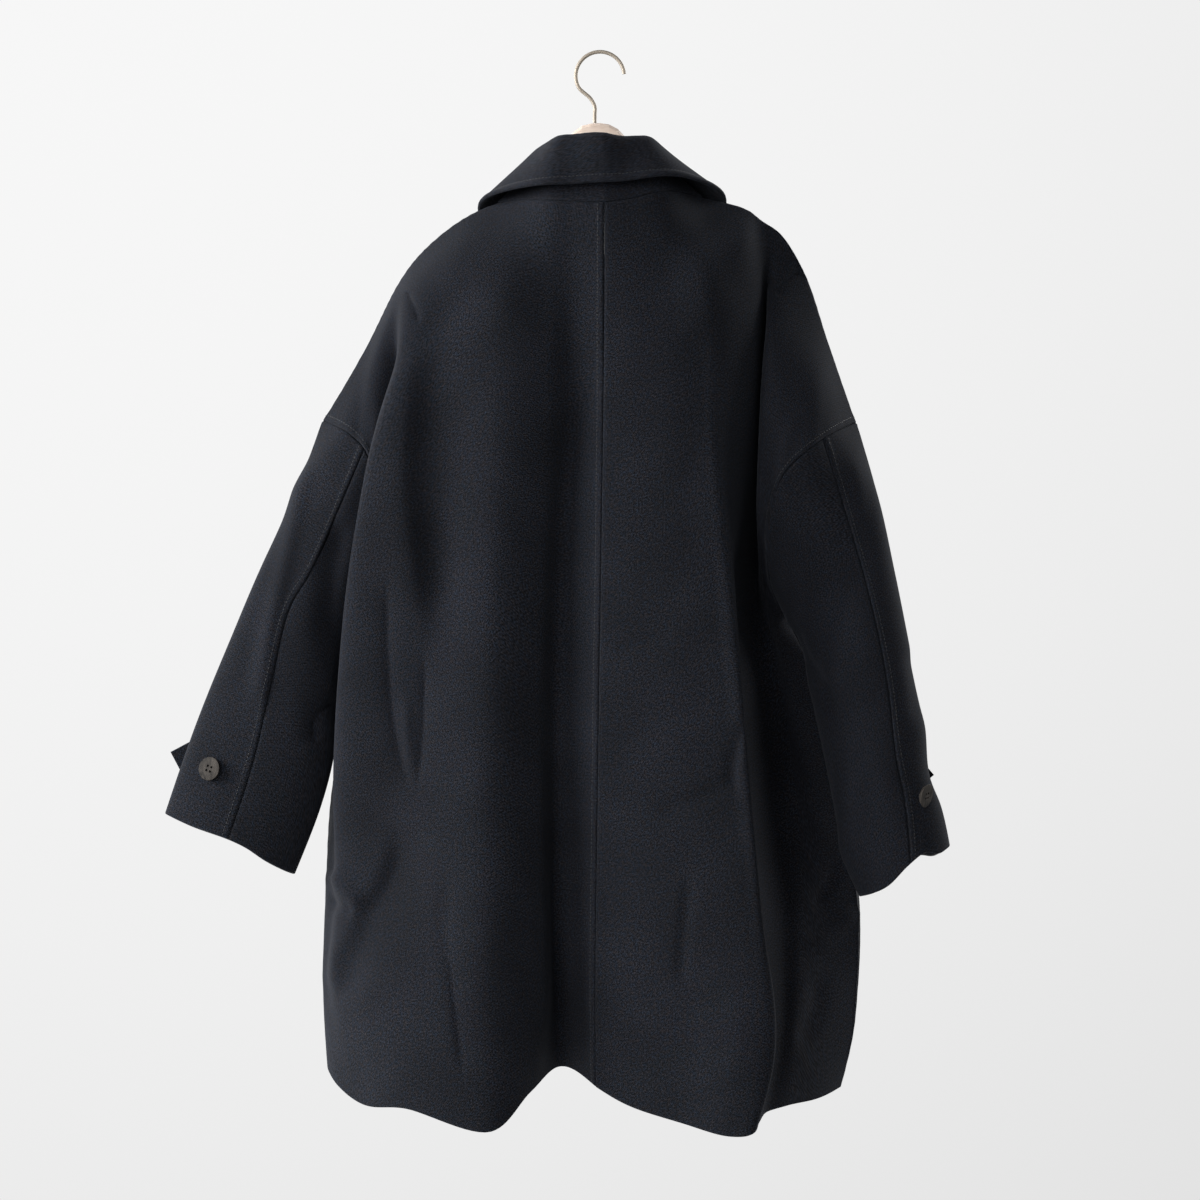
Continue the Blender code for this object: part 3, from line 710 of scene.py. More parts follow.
    def build(self, cloth: Material, lining: Material) -> Object:
        """Args:
            cloth: finish of the face that shows and of the edges.
            lining: finish of the other face.

        Returns:
            The new object, riding on the part and standing for its node.
        """
        inner = self.shape()
        rows, columns = self.grid.shape[:2]
        count = rows * columns
        numbers = np.arange(count).reshape(rows, columns)
        quads = np.stack((numbers[:-1, :-1], numbers[1:, :-1], numbers[1:, 1:], numbers[:-1, 1:]), axis=-1)
        quads = quads.reshape(-1, 4)
        loop = np.concatenate((numbers[0, :-1], numbers[:-1, -1], numbers[-1, :0:-1], numbers[:0:-1, 0]))
        ahead = np.roll(loop, -1)
        rim = np.stack((loop, ahead, ahead + count, loop + count), axis=1)
        faces = np.concatenate((quads, quads[:, ::-1] + count, rim))
        if self.flipped:
            faces = faces[:, ::-1]
        points = np.concatenate((self.outer.reshape(-1, 3), inner.reshape(-1, 3))) * MM
        mesh = bpy.data.meshes.new(self.name)
        mesh.from_pydata(points.tolist(), [], faces.tolist())
        mesh.materials.append(cloth)
        mesh.materials.append(lining)
        finishes = np.zeros(len(faces), np.int32)
        finishes[len(quads):2 * len(quads)] = 1
        mesh.polygons.foreach_set("material_index", finishes)
        self.map_threads(mesh, count)
        mesh.shade_smooth()
        mesh.set_sharp_from_angle(angle=SHARP_ANGLE)
        piece = link_piece(f"cloth_{self.name}", mesh, "wool_shell", self.name)
        return piece

    def map_threads(self, mesh: Mesh, count: int) -> None:
        """Adds the map that the weave follows and the wear along the edges.

        Args:
            mesh: the shell's mesh, its two faces' points one after the other.
            count: number of points on one face.
        """
        threads = np.stack((self.runs[Rim.FIRST], self.runs[Rim.TOP]), axis=-1).reshape(-1, 2) * MM
        corners = np.empty(len(mesh.loops), np.int32)
        mesh.loops.foreach_get("vertex_index", corners)
        layer = mesh.uv_layers.new(name="cloth")
        layer.uv.foreach_set("vector", threads[corners % count].ravel())
        nearest = np.minimum.reduce([self.runs[rim] for rim in self.edges]).ravel()
        wear = mesh.attributes.new("edge_wear", "FLOAT", "POINT")
        wear.data.foreach_set("value", np.tile(self.wear * np.exp(-nearest / self.wear_reach), 2))

    def line_at(self, rim: Rim) -> tuple[np.ndarray, np.ndarray]:
        """Line on the face that shows, at the stitches' distance from an edge.

        Args:
            rim: the edge.

        Returns:
            Points along the line and the cloth's outward directions there.
        """
        edge = self.edges[rim]
        grids = [self.runs[rim], self.outer, self.facing]
        if rim in (Rim.TOP, Rim.BOTTOM):
            grids = [grid.swapaxes(0, 1) for grid in grids]
        if rim in (Rim.BOTTOM, Rim.LAST):
            grids = [grid[:, ::-1] for grid in grids]
        keep = max(2, int(len(grids[0]) * edge.until))
        runs, outer, outward = (grid[:keep] for grid in grids)
        points = [read_between(row, run, edge.stitch) for row, run in zip(outer, runs)]
        directions = [read_between(row, run, edge.stitch) for row, run in zip(outward, runs)]
        return np.array(points), unit(np.array(directions))


def link_piece(name: str, mesh: Mesh, slot: str, *nodes: str) -> Object:
    """Puts a finished mesh in the scene as a piece of the part.

    Args:
        name: the piece's name.
        mesh: its mesh, in place.
        slot: the record's material slot that its finish belongs to; not used.
        nodes: nodes of the solid model that it stands for.

    Returns:
        The new object.
    """
    piece = bpy.data.objects.new(name, mesh)
    bpy.context.scene.collection.objects.link(piece)
    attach(piece, "root")
    if nodes:
        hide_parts(*nodes)
    LOG.info("%s: %d faces", name, len(mesh.polygons))
    return piece


def share_normals(pieces: list[ClothPiece]) -> None:
    """Gives panels that meet one outward direction at their shared edge points.

    Args:
        pieces: all panels of the coat.
    """
    masks = [piece.rim_mask() for piece in pieces]
    points = np.concatenate([piece.grid[mask] for piece, mask in zip(pieces, masks)])
    normals = np.concatenate([piece.normals[mask] for piece, mask in zip(pieces, masks)])
    _, owner = np.unique(np.round(points * MATCH_STEPS).astype(int), axis=0, return_inverse=True)
    owner = owner.ravel()
    sums = np.zeros((owner.max() + 1, 3))
    np.add.at(sums, owner, normals)
    shared = unit(sums)[owner]
    closeness = np.clip((shared * normals).sum(axis=1), LEAST_COSINE, 1.0)
    start = 0
    for piece, mask in zip(pieces, masks):
        end = start + int(mask.sum())
        piece.normals[mask] = shared[start:end]
        piece.reach[mask] = 1.0 / closeness[start:end]
        start = end


@dataclass(frozen=True)
class StitchRow:
    """A row of machine stitches that lies in the cloth.

    Attributes:
        pitch: distance from one stitch to the next.
        length: of one stitch that shows.
        radius: of the thread.
        sink: how deep the stitch's middle line lies under the cloth's face.
    """

    pitch: float = 3.6
    length: float = 2.8
    radius: float = 0.42
    sink: float = 0.12
    sides: int = 6
    # Profile of one stitch: share of its length from the middle, share of the thread's radius, and how far
    # it dips into the cloth
    profile: tuple[Knot, ...] = ((-0.5, 0.45, 0.45), (-0.32, 1.0, 0.08), (0.32, 1.0, 0.08),
                                 (0.5, 0.45, 0.45))

    def stitch_faces(self) -> list[list[int]]:
        """Faces of one stitch by the numbers of its points: its sides, ring by ring, and its two ends."""
        last = (len(self.profile) - 1) * self.sides
        faces = []
        for low in range(0, last, self.sides):
            high = low + self.sides
            for k in range(self.sides):
                n = (k + 1) % self.sides
                faces.append([low + k, low + n, high + n, high + k])
        return faces + [list(range(self.sides))[::-1], list(range(last, last + self.sides))]

    def build(self, name: str, line: np.ndarray, outward: np.ndarray,
              thread: Material) -> Object:
        """Makes the whole row as one mesh.

        Args:
            name: the piece's name.
            line: points along the row, on the cloth.
            outward: the cloth's outward directions there.
            thread: finish of the thread.

        Returns:
            The new object.
        """
        lengths = running_length(line)
        stations = np.arange(self.pitch, lengths[-1] - self.pitch / 2, self.pitch)
        middle = read_between(line, lengths, stations)
        along = unit(read_between(line, lengths, stations + 1.0) - middle)
        up = unit(read_between(outward, lengths, stations))
        across = unit(np.cross(up, along))
        angles = np.linspace(0.0, 2 * math.pi, self.sides, endpoint=False)
        spokes = [np.cos(a) * across + np.sin(a) * up for a in angles]
        rings = []
        for place, thick, dip in self.profile:
            centre = middle + along * place * self.length - up * (self.sink + dip)
            rings.append(np.stack([centre + self.radius * thick * spoke for spoke in spokes], axis=1))
        points = np.stack(rings, axis=1).reshape(-1, 3)
        faces = []
        for base in range(0, len(points), len(rings) * self.sides):
            faces += [[base + corner for corner in face] for face in self.stitch_faces()]
        mesh = bpy.data.meshes.new(name)
        mesh.from_pydata((points * MM).tolist(), [], faces)
        mesh.materials.append(thread)
        mesh.shade_smooth()
        return link_piece(name, mesh, "wool_shell")


@dataclass(frozen=True)
class RowPlan:
    """Rows of a body panel.

    Attributes:
        split: steps that each gap between two rows of the solid is split into.
        panel: rows above the chest line, as shares from the panel's top edge.
        armhole: the same rows along the armhole.
        skirt: rows from the chest line to the hem, as shares.
    """

    split: int
    panel: tuple[float, ...] = (0.0, 0.05, 0.11, 0.20, 0.32, 0.46, 0.60, 0.74, 0.87, 1.0)
    armhole: tuple[float, ...] = (0.0, 0.05, 0.10, 0.16, 0.24, 0.34, 0.46, 0.62, 0.81, 1.0)
    skirt: tuple[float, ...] = (0.09, 0.19, 0.29, 0.39, 0.49, 0.59, 0.69, 0.79, 0.87, 0.94, 1.0)

    @property
    def underarm(self) -> int:
        """Number of the row that ends at the underarm."""
        return (len(self.panel) - 1) * self.split

    def places(self, above: tuple[float, ...], top: float, chest: float, hem: float) -> np.ndarray:
        """Places of all rows.

        Args:
            above: shares of the rows above the chest line.
            top: place of the top edge.
            chest: place of the chest line.
            hem: place of the hem.

        Returns:
            Places from the top edge to the hem.
        """
        upper = top + np.array(above) * (chest - top)
        coarse = np.concatenate((upper, chest + np.array(self.skirt) * (hem - chest)))
        index = np.arange(len(coarse), dtype=float)
        fine = np.linspace(0.0, index[-1], (len(coarse) - 1) * self.split + 1)
        return smooth_through(coarse[:, None], index, fine)[:, 0]


def read_line(knots: tuple[Knot, ...], heights: np.ndarray) -> np.ndarray:
    """Points x, y, z at the given heights on a line whose knots are z, x, y."""
    table = np.array(knots, float)
    return np.column_stack((smooth_through(table[:, 1:], -table[:, 0], -heights), heights))


@dataclass(frozen=True)
class FoldLine:
    """A line down a back panel that the cloth passes through.

    Attributes:
        name: what the line is.
        chest: height of the chest line on it.
        knots: height z, place x and depth y of points along it.
        at_armhole: whether its upper part is the armhole's edge.
    """

    name: str
    chest: float
    knots: tuple[Knot, ...]
    at_armhole: bool = False

    def points(self, rows: RowPlan) -> np.ndarray:
        """Points of the line at the panel's rows."""
        above = rows.armhole if self.at_armhole else rows.panel
        return read_line(self.knots, rows.places(above, self.knots[0][0], self.chest, self.knots[-1][0]))


CENTRE_SEAM = FoldLine("centre_seam", -490, (
    (-148, 4, -58), (-300, 3, -76), (-500, 0, -86), (-700, -3, -88), (-850, -5, -85), (-969, -5, -82)))


@dataclass(frozen=True)
class Body:
    """The two backs and the two fronts.

    Attributes:
        backs: fold lines of each back, from the centre seam outwards.
        armholes: front half of each armhole, from the shoulder's end to the underarm: z, x, y.
        depth: depth of each front's edge; the right one laps over the left.
        neck_shares: front columns between the front edge and the neck point, as shares of the width.
        neck_line: number of the fold line that starts at the neck point.
        armhole_share: share of the armhole, from its top, that its ridge and stitches run along.
    """

    rows: RowPlan
    steps: int
    backs: dict[Side, tuple[FoldLine, ...]]
    armholes: dict[Side, tuple[Knot, ...]]
    creases: dict[str, tuple[Crease, ...]]
    depth: dict[Side, float]
    neck_shares: tuple[float, ...] = (0.0, 0.09, 0.20, 0.31, 0.42)
    neck_line: int = 3
    neck_z: float = -212.0
    hem_z: float = -958.0
    hem_out: float = 2.0
    lap: float = 25.0
    chest_share: float = 0.37
    shoulder_round: float = 14.0
    side_round: float = 3.0
    collar_gap: float = 6.0
    armhole_share: float = 0.86

    def back(self, side: Side) -> np.ndarray:
        """Grid of a back, columns from the centre seam to the outer edge."""
        rails = np.stack([line.points(self.rows) for line in self.backs[side]], axis=1)
        count = rails.shape[1]
        fine = np.linspace(0.0, count - 1, (count - 1) * self.steps + 1)
        grid = []
        for rail in rails:
            gaps = np.sqrt(np.linalg.norm(np.diff(rail, axis=0), axis=1))
            knots = np.concatenate(([0.0], np.cumsum(gaps)))
            grid.append(smooth_through(rail, knots, np.interp(fine, np.arange(count), knots)))
        return np.stack(grid)

    def front(self, side: Side, back: np.ndarray) -> np.ndarray:
        """Grid of a front, columns from the front edge to the outer edge, shaped by its four edges.

        Args:
            side: which front.
            back: grid of the back on that side, which it meets at shoulder and side.

        Returns:
            The grid.
        """
        sign = side.sign
        shoulder = back[0, self.neck_line * self.steps:]
        neck = shoulder[0]
        depth = self.depth[side]
        split = self.steps // 2
        index = np.linspace(0.0, len(self.neck_shares) - 1, (len(self.neck_shares) - 1) * split + 1)
        turn = math.pi / 2 * (1.0 - (np.maximum(index, 1.0) - 1.0) / (len(self.neck_shares) - 2))
        collar_end = sign * self.collar_gap / 2
        top = np.column_stack((collar_end + (neck[0] - collar_end) * np.cos(turn),
                               neck[1] + (depth - neck[1]) * np.sin(turn),
                               self.neck_z + (neck[2] - self.neck_z) * np.cos(turn)))
        corner = np.array([-sign * self.lap, depth, self.neck_z])
        before = np.clip(1.0 - index, 0.0, 1.0)[:, None]
        top = np.concatenate((top + before * (corner - top[0]), shoulder[1:]))
        shares = np.concatenate((np.interp(index, np.arange(len(self.neck_shares)), self.neck_shares),
                                 np.linspace(self.neck_shares[-1], 1.0, len(shoulder))[1:]))
        underarm = self.rows.underarm
        outer = back[:, -1].copy()
        outer[1:underarm] = read_line(self.armholes[side], back[1:underarm, -1, 2])
        down = self.rows.places(self.rows.panel, 0.0, self.chest_share, 1.0)
        hem_corner = np.array([-sign * self.lap, depth + self.hem_out, self.hem_z])
        edge = corner + down[:, None] * (hem_corner - corner)
        hem = hem_corner + shares[:, None] * (outer[-1] - hem_corner)
        hem[:, 1] = hem_corner[1] + shares ** self.side_round * (outer[-1, 1] - hem_corner[1])
        fall = np.stack([down, 1.0 - (1.0 - down) ** self.shoulder_round, down], axis=1)[:, None, :]
        sideways = np.stack([shares, shares ** self.side_round, shares], axis=1)[None]
        corners = ((1 - fall) * ((1 - sideways) * top[0] + sideways * top[-1])
                   + fall * ((1 - sideways) * hem[0] + sideways * hem[-1]))
        downwards = (1 - fall) * top + fall * hem
        across = (1 - sideways) * edge[:, None] + sideways * outer[:, None]
        return downwards + across - corners

    def neckline(self, backs: dict[Side, np.ndarray], fronts: dict[Side, np.ndarray]) -> np.ndarray:
        """Points round the neck that the collar is sewn to, from the left front to the right front."""
        neck = self.neck_line * self.steps
        split = self.steps // 2
        end = (len(self.neck_shares) - 1) * split
        return np.concatenate((fronts[Side.LEFT][0, split:end], backs[Side.LEFT][0, neck:0:-1],
                               backs[Side.RIGHT][0, :neck + 1], fronts[Side.RIGHT][0, end - 1:split - 1:-1]))

    def pieces(self, backs: dict[Side, np.ndarray], fronts: dict[Side, np.ndarray]) -> list[ClothPiece]:
        """The four panels of the body.

        Args:
            backs: grid of each back.
            fronts: grid of each front.

        Returns:
            The panels, each with its edges and creases.
        """
        upper = self.rows.underarm / (backs[Side.LEFT].shape[0] - 1)
        armhole = Edge(EdgeKind.SEAM, allowance=7.0, lift=0.4, stitch=6.2, until=upper * self.armhole_share)
        made = []
        for side in Side:
            back, front = backs[side], fronts[side][:, ::-1]
            inner, outer, centre = Rim.FIRST, Rim.LAST, SEAM
            if side is Side.LEFT:
                back, front = back[:, ::-1], front[:, ::-1]
                inner, outer, centre = Rim.LAST, Rim.FIRST, LAPPED
            LOG.info("back_%s: %s", side.value, ", ".join(line.name for line in self.backs[side]))
            for kind, grid, sides in (("back", back, {inner: centre, outer: armhole}),
                                      ("front", front, {inner: armhole, outer: FOLD})):
                name = f"{kind}_{side.value}"
                edges = {Rim.TOP: SEAM, Rim.BOTTOM: HEM} | sides
                made.append(ClothPiece(name, grid, edges, self.creases.get(name, ())))
        return made


@dataclass(frozen=True)
class SleeveSection:
    """One section across a sleeve.

    Attributes:
        share: place along the sleeve.
        outer: point on the outer edge.
        inner: point on the inner edge.
        half_depth: half the depth between its back and its front.
        seam: where the back seam lies, as a share of the way round the back from the outer edge.
    """

    share: float
    outer: Knot
    inner: Knot
    half_depth: float
    seam: float


@dataclass(frozen=True)
class Sleeve:
    """A two-piece sleeve with its cuff button and strap.

    Attributes:
        sections: sections below the armhole.
        cuff_wave: rise of the cuff's edge, by share of the way across from its outer to its inner edge.
        seam_row: row of the armhole that the back seam starts at.
        button_row: place of the button along the sleeve, as a share.
        button_share: its place round the back, as a share from the outer edge.
        button_turn: its turn on its thread towards the outer edge, in degrees.
        button_dip: its tip downwards, in degrees.
        tab_end: middle x, z of the strap's square end.
        tab_droop: slope of the strap in degrees.
    """

    side: Side
    sections: tuple[SleeveSection, ...]
    cuff_wave: tuple[Place, ...]
    seam_row: int
    button_row: float
    button_share: float
    button_turn: float
    button_dip: float
    tab_end: Place
    tab_droop: float
    creases: dict[str, tuple[Crease, ...]]
    coarse_rows: int = 13
    row_split: int = 8
    front_seam: float = 0.35
    tilt: float = 0.12
    tab_width: float = 34.0
    tab_thickness: float = 2.5
    tab_length: float = 70.0
    tab_lift: float = 1.0
    tab_stations: int = 6
    tab_split: int = 8
    tab_columns: int = 21

    def rings(self, rows: RowPlan, back: np.ndarray, front: np.ndarray, row_split: int) -> np.ndarray:
        """Sleeve as rings of points, from the outer edge round the back and on round the front.

        Args:
            rows: rows of the body's panels.
            back: grid of the back on this side.
            front: grid of the front on this side.
            row_split: steps that each gap between the solid's rings is split into.

        Returns:
            Points by ring, place round the ring and coordinate.
        """
        underarm = rows.underarm
        back_edge = back[:underarm + 1, -1]
        front_edge = front[:underarm + 1, -1]
        index = np.arange(underarm + 1)
        rings = [np.concatenate((back_edge, front_edge[-2:0:-1]))]
        wave = np.array(self.cuff_wave, float)
        for section in self.sections:
            outer = np.array(section.outer, float)
            inner = np.array(section.inner, float)
            centre = (outer + inner) / 2
            halves = []
            for seam, sign in ((section.seam, -1.0), (self.front_seam, 1.0)):
                share = np.interp(index, (0, self.seam_row * rows.split, underarm), (0.0, seam, 1.0))
                turn = math.pi * share[:, None]
                depth = sign * section.half_depth * np.array([0.0, 1.0, -self.tilt])
                half = centre + (outer - centre) * np.cos(turn) + depth * np.sin(turn)
                if section is self.sections[-1]:
                    half[:, 2:] += smooth_through(wave[:, 1:], wave[:, 0], (1.0 - np.cos(turn[:, 0])) / 2)
                halves.append(half)
            rings.append(np.concatenate((halves[0], halves[1][-2:0:-1])))
        knots = [0.0] + [section.share for section in self.sections]
        table = np.stack(rings)
        count = (self.coarse_rows - 1) * row_split + 1
        flat = smooth_through(table.reshape(len(table), -1), knots, np.linspace(0.0, 1.0, count))
        return flat.reshape(count, -1, 3)

    def pieces(self, rows: RowPlan, rings: np.ndarray) -> list[ClothPiece]:
        """The top sleeve and the under sleeve, cut at the back and front seams.

        Args:
            rows: rows of the body's panels.
            rings: the sleeve as rings of points.

        Returns:
            The two panels.
        """
        back_seam = self.seam_row * rows.split
        front_seam = rings.shape[1] - back_seam
        over = np.concatenate((rings[:, front_seam:], rings[:, :back_seam + 1]), axis=1)
        under = rings[:, back_seam:front_seam + 1]
        at_back, at_front = Rim.LAST, Rim.FIRST
        if self.side is Side.RIGHT:
            over, under = over[:, ::-1], under[:, ::-1]
            at_back, at_front = Rim.FIRST, Rim.LAST
        body = (f"back_{self.side.value}", f"front_{self.side.value}")
        made = []
        for part, grid, back_edge in (("top", over, LAPPED), ("under", under, SEAM)):
            edges = {Rim.TOP: SEAM, Rim.BOTTOM: HEM, at_back: back_edge, at_front: SEAM}
            name = f"sleeve_{self.side.value}_{part}"
            made.append(ClothPiece(name, grid, edges, self.creases.get(part, ()), rests_on=body))
        return made

    def button_frame(self, rows: RowPlan, rings: np.ndarray) -> tuple[Matrix, Vector]:
        """Place of the button on the sleeve, its own Z pointing out of the cloth.

        Args:
            rows: rows of the body's panels as the solid has them.
            rings: the sleeve's rings as the solid has them.

        Returns:
            The matrix, and the point of the cloth that the button is sewn to, both in metres.
        """
        knots = (0.0, self.sections[-1].seam, 1.0)
        turn = float(np.interp(self.button_share, knots, (0, self.seam_row * rows.split, rows.underarm)))
        row = self.button_row * (len(rings) - 1)
        low = min(int(row), len(rings) - 2)
        ring = rings[low] + (row - low) * (rings[low + 1] - rings[low])
        down = unit((rings[low + 1] - rings[low]).mean(axis=0))
        first = int(turn)
        way = ring[first + 1] - ring[first]
        point = ring[first] + (turn - first) * way
        inward = unit(way - down * way.dot(down))
        out = np.cross(inward, down)
        if out.dot(point - ring.mean(axis=0)) < 0:
            out = -out
        turned = math.radians(self.button_turn)
        dip = math.radians(self.button_dip)
        slant = math.acos(math.cos(turned) * math.cos(dip))
        foot = point + out * (Button.lift + Button.radius * math.sin(slant))
        out = math.cos(turned) * out - math.sin(turned) * inward
        out, down = math.cos(dip) * out + math.sin(dip) * down, math.cos(dip) * down - math.sin(dip) * out
        axes = np.stack((np.cross(down, out), down, out), axis=1)
        matrix = Matrix(axes.tolist()).to_4x4()
        matrix.translation = Vector(foot * MM)
        return matrix, Vector(point * MM)

    def tab(self, rings: np.ndarray) -> ClothPiece:
        """Loose strap on the front of the cuff, its square end reaching past the sleeve's outer edge.

        Args:
            rings: the sleeve's rings as the solid has them.

        Returns:
            The strap's panel.
        """
        sign = self.side.sign
        droop = math.radians(self.tab_droop)
        along = np.array([sign * math.cos(droop), 0.0, -math.sin(droop)])
        wide = np.array([sign * math.sin(droop), 0.0, math.cos(droop)])
        end = np.array([self.tab_end[0], 0.0, self.tab_end[1]])
        stations = np.linspace(-self.tab_length, 0.0, self.tab_stations)
        sides = np.array([self.tab_width / 2, -self.tab_width / 2])
        near = end + along * stations[:, None, None] + wide * sides[None, :, None]
        heights = -rings[:, :, 2].mean(axis=1)
        near[:, :, 1] = np.interp(-near[:, :, 2], heights, rings[:, :, 1].max(axis=1)) + self.tab_lift
        fine = np.linspace(-self.tab_length, 0.0, self.tab_split * (self.tab_stations - 1) + 1)
        edges = smooth_through(near.reshape(self.tab_stations, -1), stations, fine).reshape(-1, 2, 3)
        across = np.linspace(0.0, 1.0, self.tab_columns)[None, :, None]
        grid = edges[:, :1] + across * (edges[:, 1:] - edges[:, :1])
        grid[:, :, 1] += self.tab_thickness
        if self.side is Side.LEFT:
            grid = grid[:, ::-1]
        seam = Edge(EdgeKind.FOLD, stitch=5.0, fold_radius=1.2)
        return ClothPiece(f"cuff_tab_{self.side.value}", grid, {rim: seam for rim in Rim},
                          thickness=self.tab_thickness, wave_height=0.3,
                          rests_on=(f"sleeve_{self.side.value}_top",))


@dataclass(frozen=True)
class Collar:
    """Turn-down collar: a stand sewn to the neckline and a leaf that falls over it.

    Attributes:
        settings: for each side, share of the way from centre back to centre front, rise and lean of the
            stand, drop and spread of the leaf.
        fold_radius: of the roll between stand and leaf, on its under side.
        neck_round: shape of the oval that its columns point away from.
        neck_middle: depth of that oval's middle.
        roll_passes: how often the roll is smoothed across, and roll_weight how much.
        round_passes: how often the collar is smoothed along its length.
        round_weights: how much; every second pass pushes back out, so that the curve keeps its size.
        settle: how much nearer to the back the leaf's edge lies than its solid's.
    """

    settings: dict[Side, tuple[tuple[float, ...], ...]]
    fold_radius: float = 5.0
    neck_round: float = 1.3
    neck_middle: float = -5.0
    leaf_rows: int = 28
    fold_rows: int = 20
    stand_rows: int = 20
    roll_passes: int = 60
    roll_weight: float = 0.5
    round_passes: int = 1600
    round_weights: tuple[float, float] = (0.5, -0.505)
    settle: float = 23.0

    def grid(self, neckline: np.ndarray) -> np.ndarray:
        """Under side of the collar, from the leaf's edge over the roll and down to the neckline.

        Args:
            neckline: points round the neck.

        Returns:
            The grid.
        """
        up = np.array([0.0, 0.0, 1.0])
        columns = []
        for base in neckline:
            outward = unit(np.array([base[0], self.neck_round * (base[1] - self.neck_middle), 0.0]))
            share = math.acos(-outward[1]) / math.pi
            table = np.array(self.settings[Side.RIGHT if base[0] > 0 else Side.LEFT], float)
            rise, lean, drop, spread = smooth_through(table[:, 1:], table[:, 0], [share])[0]
            spread -= self.settle * max(0.0, math.cos(math.pi * share)) ** 2
            stand_top = base + rise * up - lean * outward
            fold_end = stand_top + 2 * self.fold_radius * outward
            leaf_edge = fold_end + spread * outward - drop * up
            shares = np.linspace(0, 1, self.leaf_rows, endpoint=False)[:, None]
            leaf = leaf_edge + shares * (fold_end - leaf_edge)
            turn = np.linspace(0.0, math.pi, self.fold_rows + 1)[:, None]
            fold = stand_top + self.fold_radius * (outward + np.cos(turn) * outward + np.sin(turn) * up)
            stand = stand_top + np.linspace(0, 1, self.stand_rows + 1)[1:, None] * (base - stand_top)
            columns.append(np.concatenate((leaf, fold, stand)))
        grid = np.stack(columns, axis=1)
        roll = slice(self.leaf_rows // 3, self.leaf_rows + self.fold_rows // 2)
        for _ in range(self.roll_passes):
            middle = (grid[:-2] + grid[2:]) / 2
            grid[1:-1][roll] += self.roll_weight * (middle[roll] - grid[1:-1][roll])
        freedom = np.ones((len(grid), 1, 1))
        freedom[-self.stand_rows - 1:, 0, 0] = np.linspace(1.0, 0.0, self.stand_rows + 1)
        for count in range(self.round_passes):
            middle = (grid[:, :-2] + grid[:, 2:]) / 2
            grid[:, 1:-1] += self.round_weights[count % 2] * freedom * (middle - grid[:, 1:-1])
        return grid

    def pieces(self, neckline: np.ndarray) -> list[ClothPiece]:
        """The leaf and the stand.

        Args:
            neckline: points round the neck.

        Returns:
            The two panels.
        """
        grid = self.grid(neckline)
        seam_row = self.leaf_rows + self.fold_rows
        edge = Edge(EdgeKind.FOLD, stitch=7.5, fold_radius=2.6, allowance=6.0, lift=1.1)
        leaf = ClothPiece("collar_fall", grid[:seam_row + 1],
                          {Rim.TOP: edge, Rim.BOTTOM: SEAM, Rim.FIRST: FOLD, Rim.LAST: FOLD},
                          flipped=True, held="folded", wave_height=0.6, rests_on=("collar_stand",))
        stand = ClothPiece("collar_stand", grid[seam_row:],
                           {Rim.TOP: SEAM, Rim.BOTTOM: SEAM, Rim.FIRST: FOLD, Rim.LAST: FOLD},
                           wave_height=0.3, rests_on=("back_left", "back_right"))
        return [leaf, stand]


def add_cylinder(name: str, radius: float, depth: float, sides: int, at: Knot = (0.0, 0.0, 0.0)) -> Object:
    """Adds an upright cylinder.

    Args:
        name: the object's name.
        radius: its radius in millimetres.
        depth: its height in millimetres.
        sides: number of its sides.
        at: its middle in millimetres.

    Returns:
        The new object, selected and active.
    """
    bpy.ops.object.select_all(action="DESELECT")
    bpy.ops.mesh.primitive_cylinder_add(vertices=sides, radius=radius * MM, depth=depth * MM,
                                        location=[value * MM for value in at])
    bpy.context.object.name = name
    return bpy.context.object


def select_where(thing: Object, mode: str, wanted: Callable[[object], bool]) -> None:
    """Selects, in edit mode, the faces or edges that a test accepts, and nothing else.

    Args:
        thing: the object in edit mode.
        mode: "FACE" or "EDGE".
        wanted: the test.
    """
    bpy.ops.mesh.select_all(action="DESELECT")
    bpy.ops.mesh.select_mode(type=mode)
    mesh = bmesh.from_edit_mesh(thing.data)
    for element in mesh.faces if mode == "FACE" else mesh.edges:
        element.select_set(bool(wanted(element)))
    mesh.select_flush_mode()
    bmesh.update_edit_mesh(thing.data)


